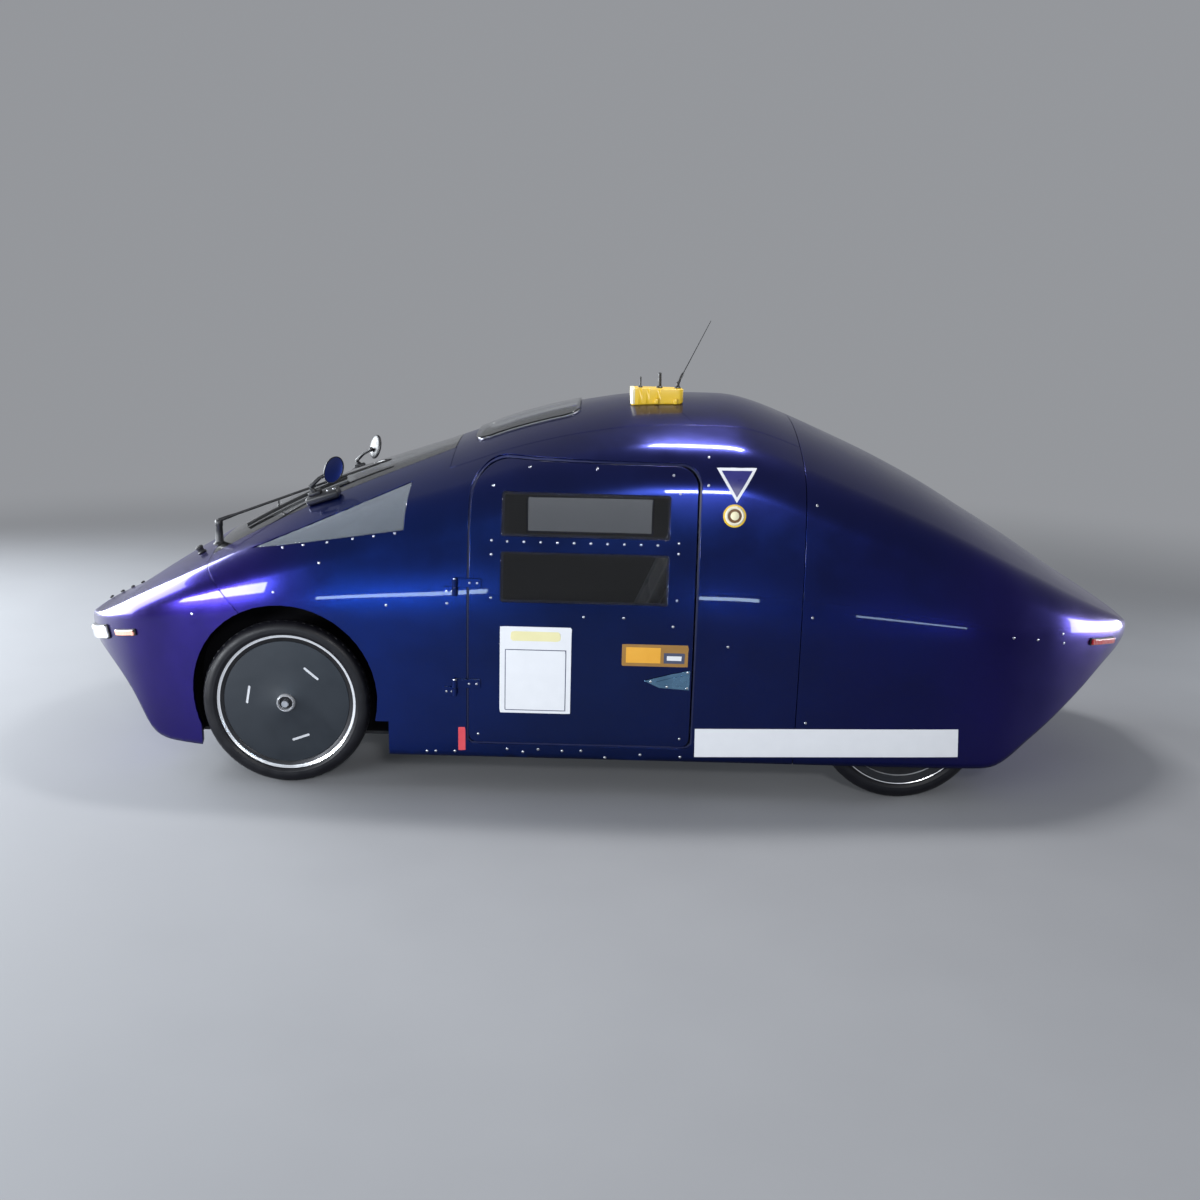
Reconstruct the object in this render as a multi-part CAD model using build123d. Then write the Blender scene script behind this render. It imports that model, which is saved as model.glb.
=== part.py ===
from build123d import *
from math import atan2, cos, degrees, radians, sin, sqrt
import os

# A streamlined one-seat enclosed vehicle on four 20-inch wheels.
# Nose towards -X, its right side towards +Y, +Z up, origin on the floor at mid length.
# All sizes are millimetres.

# Body
body_length = 3380.0
body_width = 1220.0
roof_height = 1160.0
ground_clearance = 108.0
wall = 10.0
floor_inset = 14.0
panel_gap = 0.6
seat_gap = 0.3
glass_thickness = 4.0
glass_clearance = 0.4

# Running gear
nose_overhang = 735.0
wheelbase = 1832.0
wheel_inset = 60.0
tyre_radius = 250.0
tyre_width = 48.0
tread_width = 32.0
tread_drop = 7.5
bulge_rise = 20.0
bead_radius = 203.0
bead_width = 24.6
bead_clearance = 0.2
rim_depth = 16.0
flange_radius = 209.0
flange_thickness = 2.5
hub_radius = 28.0
hub_half = 30.0
stub_reach = 4.0
front_disc_half = 18.0
front_disc_edge = 9.0
rear_disc_half = 4.0
axle_radius = 10.0
running_clearance = 0.05
axial_gap = 0.6

# Slots in the front discs
slot_radius = 116.0
slot_length = 56.0
slot_width = 8.0
slot_depth = 3.0
slot_start = 50.0

# Front arch and wheel house
arch_radius = 278.0
arch_rise = 26.0
arch_front_reach = 258.0
arch_rear_reach = 310.0
arch_corner_z = 212.0
house_clearance = 14.0
house_wall = 4.0
house_depth = 198.0

# Steering
kingpin_offset = 60.0
kingpin_radius = 7.0
barrel_radius = 16.0
barrel_height = 116.0
collar_radius = 13.0
beam_size = 44.0
ear_thickness = 12.0
ear_radius = 20.0
post_thickness = 12.0
steering_arm = 90.0
arm_drop = 30.0
arm_half_width = 12.0
arm_thickness = 12.0
tie_rod_radius = 5.0
tie_pin_radius = 5.0
tie_eye_height = 14.0
tie_eye_radius = 11.0
steering_wheel_radius = 130.0
steering_wheel_tube = 11.0
steering_wheel_x = -500.0
steering_wheel_z = 640.0
column_length = 300.0
column_radius = 14.0
column_tilt = 25.0

# Seams between the panels: the nose cowl ends at a plane that leans back from the screen's corner
floor_setback = 380.0
cowl_setback = 470.0
cowl_height = 682.0
cowl_slope = 0.9
screen_front_inset = 195.0
screen_middle_inset = 245.0
screen_rear_inset = 395.0
roof_front_x = -490.0
tail_seam_x = 555.0
tail_floor_x = 1120.0
roof_inset = 230.0

# Skylight over a hole in the roof panel
skylight_x = (-430.0, -106.0)
skylight_half_width = 235.0
skylight_lap = 12.0
skylight_rise = 8.0

# Doors
door_front_x = -408.0
door_rear_x = 243.0
door_low_z = 155.0
door_high_z = 980.0
door_front_corner = 110.0
door_rear_corner = 60.0
door_low_corner = 25.0
door_gap_front = 6.0
door_gap_rear = 10.0
door_gap_top = 9.0
door_gap_low = 6.0
door_gap_roof = 6.0
pane_front_x = -318.0
pane_rear_x = 166.0
upper_pane_z = (773.0, 898.0)
lower_pane_z = (583.0, 729.0)
pane_corner = 10.0

# Door hinges
hinge_reach = 40.0
hinge_outset = 7.0
hinge_heights = (300.0, 600.0)
hinge_height = 24.0
hinge_barrel_radius = 8.0
hinge_pin_radius = 4.0
hinge_leaf_length = 34.0

# Quarter window outline, x and z of its three corners
quarter_corners = ((-1050.0, 708.0), (-600.0, 780.0), (-600.0, 898.0))

# Cabin
bulkhead_x = 330.0
bulkhead_thickness = 12.0
seat_width = 440.0
seat_thickness = 50.0
seat_bend = 60.0
seat_line = ((-400.0, 236.0), (-60.0, 168.0), (20.0, 200.0), (262.0, 740.0))
plinth_x = (-330.0, -60.0)
plinth_inset = 40.0
dash_x = (-880.0, -760.0)
dash_z = (495.0, 690.0)
dash_brow = 40.0

# Drive unit and rear axle
rear_tube_radius = 20.0
bracket_inset = 220.0
bracket_thickness = 12.0
bracket_length = 90.0
drive_length = 260.0
drive_width = 380.0
drive_height = 300.0
drive_gap = 12.0

# Lamps: middle's distance from the tip, its height, then length, height and rise in degrees
lamp_thickness = 10.0
headlamp = (87.0, 384.0, 126.0, 44.0, 20.0)
indicator = (225.0, 421.5, 84.0, 21.0, 13.0)
tail_lamp = (172.0, 458.0, 110.0, 22.0, 8.0)

# Roof box and aerials
roof_box_length = 162.0
roof_box_width = 140.0
roof_box_top = 1180.0
roof_box_x = 129.0
roof_box_y = -150.0
whip_height = 1390.0
whip_reach = 95.0

# Stop button and door latches
button_x = 348.0
button_z = 847.0
button_radius = 33.0
button_depth = 14.0
latch_depth = 6.0
latch_outline = ((103.0, 359.0), (150.0, 338.0), (238.0, 333.0), (238.0, 394.0), (150.0, 372.0))

# Mirrors: a faired foot that lies along the pillar, a stalk and a round head
mirror_setback = 82.0
mirror_inset = 260.0
mirror_foot = (108.0, 46.0, 26.0)
mirror_foot_corner = 9.0
mirror_head_lead = 26.0
mirror_head_lift = 92.0
mirror_head = (43.0, 38.0)
mirror_head_thickness = 10.0
mirror_stalk_radius = 6.0
mirror_yaw = 37.0
mirror_lean = 14.0

# Wiper, from its spindle on the cowl to the arm's end
wiper_setback = 5.0
wiper_reach = 515.0
wiper_insets = (80.0, 210.0)
wiper_lift = (72.0, 14.0)
wiper_arm_radius = 4.0
wiper_post_radius = 12.0
wiper_blade_radius = 5.0
wiper_blade_lift = 8.5
wiper_blade_span = (0.16, 0.34, 0.54, 0.74)

# Towing eye
tow_eye_radius = 12.0
tow_eye_half_width = 32.0
tow_eye_reach = 90.0

half_length = body_length / 2
half_width = body_width / 2
floor_x = floor_setback - half_length
cowl_x = cowl_setback - half_length
front_axle_x = nose_overhang - half_length
rear_axle_x = front_axle_x + wheelbase
wheel_y = half_width - wheel_inset
kingpin_y = wheel_y - kingpin_offset
house_inner_y = half_width - house_depth
roof_half_width = half_width - roof_inset
mirror_x = front_axle_x + mirror_setback
mirror_y = half_width - mirror_inset
bracket_y = wheel_y - bracket_inset
hub_z = tyre_radius
arch_z = hub_z + arch_rise
house_radius = arch_radius + house_clearance
floor_top = ground_clearance + wall
LEFT = -1
RIGHT = 1
SIDES = ((LEFT, "left"), (RIGHT, "right"))

# The body's form in stations from nose to tail, each row a cross-section.
# Columns: x as a share of the half length, half width as a share of the greatest,
# then as shares of the roof height: belt, top, and underside above the ground clearance.
STATIONS = (
    (-1.000, 0.230, 0.345, 0.364, 0.200),
    (-0.980, 0.350, 0.352, 0.376, 0.206),
    (-0.950, 0.500, 0.362, 0.395, 0.200),
    (-0.905, 0.645, 0.378, 0.434, 0.168),
    (-0.860, 0.755, 0.392, 0.478, 0.110),
    (-0.815, 0.825, 0.404, 0.519, 0.012),
    (-0.780, 0.870, 0.415, 0.549, 0.000),
    (-0.720, 0.930, 0.428, 0.601, 0.000),
    (-0.640, 0.975, 0.438, 0.668, 0.000),
    (-0.560, 0.995, 0.442, 0.726, 0.000),
    (-0.470, 1.000, 0.442, 0.778, 0.000),
    (-0.380, 1.000, 0.438, 0.823, 0.000),
    (-0.280, 1.000, 0.432, 0.872, 0.000),
    (-0.180, 1.000, 0.428, 0.927, 0.000),
    (-0.060, 1.000, 0.424, 0.972, 0.000),
    (0.060, 1.000, 0.420, 0.997, 0.000),
    (0.150, 1.000, 0.420, 1.000, 0.000),
    (0.210, 1.000, 0.420, 1.000, 0.000),
    (0.260, 1.000, 0.420, 0.985, 0.000),
    (0.330, 1.000, 0.420, 0.948, 0.000),
    (0.400, 1.000, 0.420, 0.906, 0.000),
    (0.500, 1.000, 0.420, 0.842, 0.000),
    (0.600, 0.997, 0.420, 0.768, 0.000),
    (0.670, 0.985, 0.420, 0.708, 0.000),
    (0.760, 0.890, 0.416, 0.632, 0.076),
    (0.850, 0.735, 0.410, 0.549, 0.168),
    (0.930, 0.545, 0.402, 0.479, 0.248),
    (0.980, 0.370, 0.394, 0.433, 0.275),
    (1.000, 0.220, 0.390, 0.412, 0.275),
)
SIDE_LEAN = 10.0
SIDE_RISE = (0.20, 0.72)
SHOULDER = (0.58, -0.50)


def upper_arcs(row, grow):
    """A section's upper half: side, shoulder and crown arcs, each tangent to the next."""
    width_share, belt_share, top_share = row[1:4]
    width = width_share * half_width + grow
    belt = belt_share * roof_height
    top = top_share * roof_height + grow
    upper_share = top_share - belt_share
    rise = upper_share * (SIDE_RISE[0] + SIDE_RISE[1] * upper_share) * roof_height
    shoulder = upper_share * (SHOULDER[0] + SHOULDER[1] * upper_share) * roof_height + grow
    lean = radians(SIDE_LEAN)
    side_radius = rise / sin(lean)
    side_end = (width - side_radius * (1 - cos(lean)), belt + rise)
    side_middle = (width - side_radius * (1 - cos(lean / 2)), belt + side_radius * sin(lean / 2))
    shoulder_y = side_end[0] - shoulder * cos(lean)
    shoulder_z = side_end[1] - shoulder * sin(lean)
    height = top - shoulder_z
    crown_radius = (shoulder_y**2 + height**2 - shoulder**2) / (2 * (height - shoulder))
    crown_angle = atan2(shoulder_z - top + crown_radius, shoulder_y)
    half_turn = (lean + crown_angle) / 2
    shoulder_middle = (shoulder_y + shoulder * cos(half_turn), shoulder_z + shoulder * sin(half_turn))
    crown_end = (shoulder_y + shoulder * cos(crown_angle), shoulder_z + shoulder * sin(crown_angle))
    return (width, belt), side_middle, side_end, shoulder_middle, crown_end, top, crown_radius


def section(row, grow):
    """One closed cross-section of the body, moved outwards by grow."""
    x = row[0] * half_length
    belt_point, side_middle, side_end, shoulder_middle, crown_end, top, _ = upper_arcs(row, grow)
    width, belt = belt_point
    low = ground_clearance + row[4] * roof_height - grow

    # Lower side: an arc that is upright at the belt and meets the floor at its inset.
    drop = belt - low
    low_radius = (floor_inset**2 + drop**2) / (2 * floor_inset)
    half_turn = atan2(drop, low_radius - floor_inset) / 2
    low_middle = (width - low_radius * (1 - cos(half_turn)), belt - low_radius * sin(half_turn))

    right = (
        (width - floor_inset, low),
        low_middle,
        belt_point,
        side_middle,
        side_end,
        shoulder_middle,
        crown_end,
    )
    points = [Vector(x, y, z) for y, z in right]
    mirrored = [Vector(x, -y, z) for y, z in reversed(right)]
    edges = [Edge.make_line(mirrored[-1], points[0])]
    for k in (0, 2, 4):
        edges.append(Edge.make_three_point_arc(points[k], points[k + 1], points[k + 2]))
    edges.append(Edge.make_three_point_arc(points[6], Vector(x, 0, top), mirrored[0]))
    for k in (0, 2, 4):
        edges.append(Edge.make_three_point_arc(mirrored[k], mirrored[k + 1], mirrored[k + 2]))
    return Wire(edges)


def hull(grow, trim=0):
    """The body's solid form, grown or shrunk, without trim stations at each end."""
    rows = STATIONS[trim : len(STATIONS) - trim]
    return Solid.make_loft([section(row, grow) for row in rows], ruled=True)


def crown_height(x, y):
    """The height of the skin's crown at a place in plan."""
    share = x / half_length
    behind = [row for row in STATIONS if row[0] <= share][-1]
    ahead = [row for row in STATIONS if row[0] > share][0]
    heights = []
    for row in (behind, ahead):
        top, radius = upper_arcs(row, 0)[-2:]
        heights.append(top - radius + sqrt(radius**2 - y**2))
    part = (share - behind[0]) / (ahead[0] - behind[0])
    return heights[0] + part * (heights[1] - heights[0])


def slab(x0, x1, y0, y1, z0, z1):
    """A box from its lowest to its highest corner."""
    return Pos((x0 + x1) / 2, (y0 + y1) / 2, (z0 + z1) / 2) * Box(x1 - x0, y1 - y0, z1 - z0)


def side_slab(x0, x1, side, y_in, y_out, z0, z1):
    """A box on one side of the vehicle, from y_in outwards to y_out."""
    y0, y1 = sorted((side * y_in, side * y_out))
    return slab(x0, x1, y0, y1, z0, z1)


def side_prism(outline, side, y_in, y_out):
    """A side-view outline drawn in x and z, pushed from y_in to y_out on one side."""
    depth = (y_out - y_in) / 2
    middle = side * (y_in + y_out) / 2
    return extrude(Plane((0, middle, 0), x_dir=(1, 0, 0), z_dir=(0, -1, 0)) * outline, depth, both=True)


def rounded(x0, x1, z0, z1, radii):
    """A side-view rectangle; radii are its low front, low rear, high front and high rear corners."""
    sheet = Pos((x0 + x1) / 2, (z0 + z1) / 2) * Rectangle(x1 - x0, z1 - z0)
    places = ((x0, z0), (x1, z0), (x0, z1), (x1, z1))
    for place, radius in zip(places, radii):
        corner = sheet.vertices().sort_by_distance((place[0], place[1], 0))[0]
        sheet = fillet(corner, radius)
    return sheet


def rod(radius, start, end):
    """A round bar between two points."""
    start = Vector(start)
    axis = Vector(end) - start
    return Solid.make_cylinder(radius, axis.length, Plane(start, z_dir=axis.normalized()))


def wheel_revolve(outline, x, side):
    """A half section drawn as radius and offset, turned about the wheel's own axle."""
    face = Plane((x, side * wheel_y, hub_z), x_dir=(0, 0, 1), z_dir=(side, 0, 0)) * outline
    return revolve(face, Axis((x, side * wheel_y, hub_z), (0, 1, 0)), 360)


def largest(shape):
    """The largest solid of a cut."""
    return shape.solids().sort_by(SortBy.VOLUME)[-1]


nodes = {}


def keep(name, *shapes):
    """Stores one node, of one or more solids that don't touch."""
    nodes[name] = [solid for shape in shapes for solid in shape.solids()]


# Body forms: the outer skin, its inside, and the forms that inner and outer pieces seat on
outer = hull(0)
inner = hull(-wall, 1)
floor_form = Pos(0, 0, -wall) * inner
seat_form = hull(seat_gap)
lining_form = hull(-wall - seat_gap, 1)
everywhere = (-body_width, body_width)
floor_cut = slab(floor_x - panel_gap, tail_floor_x + panel_gap, *everywhere, 0, floor_top + panel_gap)
tow_eye_x = floor_x - tow_eye_reach
tow_eye_room = slab(
    tow_eye_x - tow_eye_half_width - panel_gap,
    floor_x,
    -tow_eye_half_width - panel_gap,
    tow_eye_half_width + panel_gap,
    0,
    floor_top + panel_gap,
)
skin = outer - inner - (floor_form & floor_cut) - tow_eye_room
glass_skin = outer - hull(-glass_thickness)


def door_outline(extra):
    """The door's outline, or its opening when extra is 1."""
    return rounded(
        door_front_x - extra * door_gap_front,
        door_rear_x + extra * door_gap_rear,
        door_low_z - extra * door_gap_low,
        door_high_z + extra * door_gap_top,
        (door_low_corner, door_low_corner, door_front_corner, door_rear_corner),
    )


def pane_outline(heights, grow):
    """A door window's outline, grown for the hole that takes it."""
    radii = (pane_corner + grow,) * 4
    return rounded(pane_front_x - grow, pane_rear_x + grow, heights[0] - grow, heights[1] + grow, radii)


def quarter_outline(grow):
    """The quarter window's outline, a long triangle, grown for the hole that takes it."""
    sheet = make_face(Polyline(*quarter_corners, close=True))
    return offset(sheet, grow, kind=Kind.INTERSECTION) if grow else sheet


def arch_cut(side):
    """The front wheel's opening in the body side: round above, upright below."""
    disc = Pos(front_axle_x, arch_z) * Circle(arch_radius)
    front = Pos(front_axle_x - arch_front_reach / 2, arch_corner_z / 2)
    rear = Pos(front_axle_x + arch_rear_reach / 2, arch_corner_z / 2)
    opening = disc + front * Rectangle(arch_front_reach, arch_corner_z)
    opening = opening + rear * Rectangle(arch_rear_reach, arch_corner_z)
    return side_prism(opening, side, house_inner_y, body_width)


def top_strip(x0, x1, half, grow=0.0):
    """The strip along the top between the two body sides."""
    return slab(x0, x1, -half - grow, half + grow, hub_z, 2 * roof_height)


def ahead_of_cowl_line(gap):
    """The space ahead of the leaning plane, which ends over the middle of the front wheel arch."""
    foot_z = cowl_height - (front_axle_x - arch_radius / 3 - cowl_x) / cowl_slope
    outline = Polyline(
        (-body_length, 0),
        (-body_length, 2 * roof_height),
        (cowl_x - cowl_slope * (2 * roof_height - cowl_height) - gap, 2 * roof_height),
        (cowl_x + cowl_slope * (cowl_height - foot_z) - gap, foot_z),
        (cowl_x + cowl_slope * (cowl_height - foot_z) - gap, 0),
        close=True,
    )
    return side_prism(make_face(outline), RIGHT, -body_width, body_width)


def screen_form(grow):
    """The windscreen's outline in plan: it narrows towards the roof."""
    half = (
        (2 * cowl_x - front_axle_x, half_width - 2 * screen_front_inset + screen_middle_inset),
        (cowl_x, half_width - screen_front_inset),
        (front_axle_x, half_width - screen_middle_inset),
        (roof_front_x, half_width - screen_rear_inset),
    )
    outline = Polyline(*half, *[(x, -y) for x, y in reversed(half)], close=True)
    sheet = offset(make_face(outline), grow, kind=Kind.INTERSECTION)
    return Pos(0, 0, hub_z) * extrude(sheet, 2 * roof_height)


# Nose cowl and tail cover
nose = skin & ahead_of_cowl_line(panel_gap)
for side, _ in SIDES:
    nose = nose - arch_cut(side)
keep("nose_cowl", nose)
keep("tail_cover", skin & slab(tail_seam_x + panel_gap, body_length, *everywhere, 0, 2 * roof_height))

# Windscreen, roof panel and its clear skylight
behind_cowl = slab(-body_length, tail_seam_x - panel_gap, *everywhere, 0, 2 * roof_height)
behind_cowl = behind_cowl - ahead_of_cowl_line(-panel_gap)
keep("windscreen", glass_skin & screen_form(-panel_gap) & behind_cowl)
roof = skin & top_strip(roof_front_x + panel_gap, tail_seam_x - panel_gap, roof_half_width, -panel_gap)
skylight_hole = top_strip(
    skylight_x[0] + skylight_lap, skylight_x[1] - skylight_lap, skylight_half_width - skylight_lap
)
keep("roof_panel", roof - skylight_hole)
skylight = (hull(skylight_rise) & top_strip(*skylight_x, skylight_half_width)) - seat_form
keep("skylight", skylight)

# Body sides, quarter windows and doors
cabin_skin = (skin & behind_cowl) - top_strip(roof_front_x, tail_seam_x, roof_half_width)
cabin_skin = cabin_skin - screen_form(0)
for side, word in SIDES:
    half = side_slab(-body_length, body_length, side, 0, body_width, 0, 2 * roof_height)
    quarter_hole = side_prism(quarter_outline(glass_clearance), side, roof_half_width, body_width)
    door_hole = side_prism(door_outline(1), side, roof_half_width, body_width)
    keep(f"body_side_{word}", (cabin_skin & half) - arch_cut(side) - door_hole - quarter_hole)
    quarter_pane = side_prism(quarter_outline(0), side, roof_half_width, body_width)
    keep(f"quarter_window_{word}", glass_skin & quarter_pane)
    door_y = roof_half_width + door_gap_roof
    door = skin & side_prism(door_outline(0), side, door_y, body_width)
    panes = []
    for heights in (upper_pane_z, lower_pane_z):
        door = door - side_prism(pane_outline(heights, glass_clearance), side, door_y, body_width)
        panes.append(glass_skin & side_prism(pane_outline(heights, 0), side, door_y, body_width))
    keep(f"door_panel_{word}", door)
    keep(f"door_windows_{word}", *panes)

# Floor pan with its wheel openings and a towing eye under the nose
floor = floor_form & slab(floor_x, tail_floor_x, *everywhere, ground_clearance, floor_top)
for side, _ in SIDES:
    floor = floor - side_slab(
        front_axle_x - house_radius - house_wall,
        front_axle_x + arch_rear_reach + house_wall,
        side,
        house_inner_y + house_wall,
        body_width,
        0,
        floor_top + wall,
    )
    floor = floor - side_slab(
        rear_axle_x - tyre_radius - 3 * wall,
        rear_axle_x + tyre_radius + 3 * wall,
        side,
        wheel_y - tyre_width / 2 - 3 * wall,
        body_width,
        0,
        floor_top + wall,
    )
floor += slab(tow_eye_x, floor_x, -tow_eye_half_width, tow_eye_half_width, ground_clearance, floor_top)
floor += Pos(tow_eye_x, 0, ground_clearance) * extrude(Circle(tow_eye_half_width), wall)
floor -= rod(tow_eye_radius, (tow_eye_x, 0, 0), (tow_eye_x, 0, 2 * floor_top))
keep("floor_pan", floor)


def wheel_house_form(side, grow):
    """The space inside a front wheel house, grown for its outside or for what stands clear of it."""
    below = Pos(front_axle_x + (arch_rear_reach - house_radius) / 2, arch_z / 2)
    outline = Pos(front_axle_x, arch_z) * Circle(house_radius)
    outline = outline + below * Rectangle(arch_rear_reach + house_radius, arch_z)
    outline = offset(outline, grow) if grow else outline
    return side_prism(outline, side, house_inner_y + house_wall - grow, body_width)


# Front wheel houses: a round liner over each wheel, with an inner wall that stands on the floor
for side, word in SIDES:
    outside = wheel_house_form(side, house_wall)
    inside = wheel_house_form(side, 0)
    axle_hole = side_slab(
        front_axle_x - steering_arm,
        front_axle_x + 2 * steering_arm,
        side,
        house_inner_y - house_wall,
        house_inner_y + 2 * house_wall,
        hub_z - 1.2 * steering_arm,
        hub_z + steering_arm,
    )
    above = slab(-body_length, body_length, *everywhere, floor_top + seat_gap, roof_height)
    keep(f"front_wheel_house_{word}", (outside - inside - axle_hole) & lining_form & above)


# Wheels
def tyre_outline():
    """The tyre's section: bead held between the rim's flanges, bulging walls and a round tread."""
    shoulder = (tyre_radius - tread_drop, tread_width / 2)
    half = (shoulder, (bead_radius + bulge_rise, tyre_width / 2), (flange_radius, bead_width / 2))
    near = [(radius, -out) for radius, out in half]
    tread = ThreePointArc(near[0], (tyre_radius, 0), half[0])
    walls = [ThreePointArc(*half), ThreePointArc(*near)]
    foot = Polyline(half[2], (bead_radius, bead_width / 2), (bead_radius, -bead_width / 2), near[2])
    return make_face([tread, *walls, *foot.edges()])


def disc_outline(hub_face, rim_face):
    """Rim, disc and hub as one section; the faces are the disc's half thickness at hub and rim."""
    rim_top = bead_radius - bead_clearance
    rim_low = rim_top - rim_depth
    bore = axle_radius + running_clearance
    bead_room = bead_width / 2 + bead_clearance
    half_rim = bead_room + flange_thickness
    half = (
        (bore, hub_half),
        (hub_radius, hub_half),
        (hub_radius, hub_face),
        (rim_low, rim_face),
        (rim_low, half_rim),
        (flange_radius - bead_clearance, half_rim),
        (flange_radius - bead_clearance, bead_room),
        (rim_top, bead_room),
    )
    return make_face(Polyline(*half, *[(r, -y) for r, y in reversed(half)], close=True))


WHEELS = (
    ("front_left", front_axle_x, LEFT),
    ("front_right", front_axle_x, RIGHT),
    ("rear_left", rear_axle_x, LEFT),
    ("rear_right", rear_axle_x, RIGHT),
)
for word, x, side in WHEELS:
    keep(f"tyre_{word}", wheel_revolve(tyre_outline(), x, side))
    if x == front_axle_x:
        disc = wheel_revolve(disc_outline(front_disc_half, front_disc_edge), x, side)
        for turn in (0, 120, 240):
            slot = Pos(x, hub_z) * Rot(0, 0, slot_start + turn) * Pos(slot_radius, 0)
            slot = slot * Rectangle(slot_width, slot_length)
            face_y = wheel_y + front_disc_edge
            disc = disc - side_prism(slot, side, face_y - slot_depth, face_y + hub_half)
    else:
        disc = wheel_revolve(disc_outline(rear_disc_half, rear_disc_half), x, side)
    keep(f"wheel_disc_{word}", disc)

# Front axle: a square beam with a fork at each end for the kingpin
fork_low = hub_z - barrel_height / 2
fork_high = hub_z + barrel_height / 2
beam_low = fork_low - axial_gap - ear_thickness
beam_high = fork_high + axial_gap + ear_thickness
post_out = kingpin_y - ear_radius - 4
post_in = post_out - post_thickness
beam_half = beam_size / 2
axle_beam = slab(
    front_axle_x - beam_half, front_axle_x + beam_half, -post_out, post_out, beam_low, beam_low + beam_size
)
foot_y = house_inner_y - beam_size
axle_beam += slab(
    front_axle_x - beam_half,
    front_axle_x + beam_half,
    -foot_y,
    foot_y,
    floor_top + seat_gap,
    beam_low + beam_half,
)
for side, _ in SIDES:
    axle_beam += side_slab(
        front_axle_x - beam_half, front_axle_x + beam_half, side, post_in, post_out, beam_low, beam_high
    )
    for ear_z in (beam_low, fork_high + axial_gap):
        ear = Pos(front_axle_x, side * kingpin_y, ear_z) * extrude(Circle(ear_radius), ear_thickness)
        ear += side_slab(
            front_axle_x - ear_radius,
            front_axle_x + ear_radius,
            side,
            post_in + 2,
            kingpin_y,
            ear_z,
            ear_z + ear_thickness,
        )
        axle_beam += ear
    axle_beam -= rod(
        kingpin_radius + running_clearance,
        (front_axle_x, side * kingpin_y, beam_low - 1),
        (front_axle_x, side * kingpin_y, beam_high + 1),
    )
keep("front_axle_beam", axle_beam)

# Knuckles: kingpin, barrel, stub axle and steering arm in one forging
stub_end = wheel_y + hub_half + stub_reach
arm_z = hub_z - arm_drop
tie_x = front_axle_x + steering_arm
eye_low = arm_z + arm_thickness / 2 + axial_gap
for side, word in SIDES:
    pin_y = side * kingpin_y
    knuckle = rod(barrel_radius, (front_axle_x, pin_y, fork_low), (front_axle_x, pin_y, fork_high))
    knuckle += rod(kingpin_radius, (front_axle_x, pin_y, beam_low), (front_axle_x, pin_y, beam_high))
    knuckle += rod(axle_radius, (front_axle_x, pin_y, hub_z), (front_axle_x, side * stub_end, hub_z))
    collar_end = side * (wheel_y - hub_half - axial_gap)
    knuckle += rod(collar_radius, (front_axle_x, pin_y, hub_z), (front_axle_x, collar_end, hub_z))
    knuckle += slab(
        front_axle_x,
        tie_x,
        pin_y - arm_half_width,
        pin_y + arm_half_width,
        arm_z - arm_thickness / 2,
        arm_z + arm_thickness / 2,
    )
    knuckle += Pos(tie_x, pin_y, arm_z) * Cylinder(arm_half_width, arm_thickness)
    knuckle += rod(tie_pin_radius, (tie_x, pin_y, arm_z), (tie_x, pin_y, eye_low + tie_eye_height + 2))
    keep(f"knuckle_{word}", knuckle)

# Tie rod: its eyes sit on the pins of the two steering arms
eye_middle = eye_low + tie_eye_height / 2
tie_rod = rod(tie_rod_radius, (tie_x, -kingpin_y, eye_middle), (tie_x, kingpin_y, eye_middle))
for side, _ in SIDES:
    tie_rod += Pos(tie_x, side * kingpin_y, eye_low) * extrude(Circle(tie_eye_radius), tie_eye_height)
for side, _ in SIDES:
    tie_rod -= rod(
        tie_pin_radius + running_clearance,
        (tie_x, side * kingpin_y, eye_low - 1),
        (tie_x, side * kingpin_y, eye_low + tie_eye_height + 1),
    )
keep("tie_rod", tie_rod)

# Rear axle: a tube on two brackets, with stub ends for the wheels
tube_end = wheel_y - hub_half - axial_gap
rear_axle = rod(rear_tube_radius, (rear_axle_x, -tube_end, hub_z), (rear_axle_x, tube_end, hub_z))
rear_axle += rod(axle_radius, (rear_axle_x, -stub_end, hub_z), (rear_axle_x, stub_end, hub_z))
for side, _ in SIDES:
    rear_axle += side_slab(
        rear_axle_x - bracket_length / 2,
        rear_axle_x + bracket_length / 2,
        side,
        bracket_y,
        bracket_y + bracket_thickness,
        floor_top + seat_gap,
        hub_z,
    )
keep("rear_axle_beam", rear_axle)

# Drive unit: one plain block on the floor ahead of the rear axle
drive_rear = rear_axle_x - bracket_length / 2 - drive_gap
drive_low = floor_top + seat_gap
drive = slab(
    drive_rear - drive_length,
    drive_rear,
    -drive_width / 2,
    drive_width / 2,
    drive_low,
    drive_low + drive_height,
)
keep("drive_unit", fillet(drive.edges().filter_by(Axis.Z), 20))

# Bulkhead behind the driver and dashboard ahead, both with their ends on the body sides
above_floor = floor_top + seat_gap
bulkhead_rear = bulkhead_x + bulkhead_thickness
keep("bulkhead", lining_form & slab(bulkhead_x, bulkhead_rear, *everywhere, above_floor, 2 * roof_height))
dash_block = slab(*dash_x, *everywhere, *dash_z)
dash_brow_edge = dash_block.edges().filter_by(Axis.Y).sort_by(Axis.X)[-2:].sort_by(Axis.Z)[-1]
dash = lining_form & fillet(dash_brow_edge, dash_brow)
for side, _ in SIDES:
    dash -= wheel_house_form(side, house_wall + seat_gap)
keep("dashboard", dash)

# Seat: one bent bucket on a plinth
seat_path = FilletPolyline(*seat_line, radius=seat_bend)
seat_face = make_face(offset(seat_path, seat_thickness / 2).edges())
seat_solid = side_prism(seat_face, RIGHT, -seat_width / 2, seat_width / 2)
plinth_half = seat_width / 2 - plinth_inset
seat_solid += slab(*plinth_x, -plinth_half, plinth_half, above_floor, seat_line[1][1])
keep("seat", seat_solid)

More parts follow.
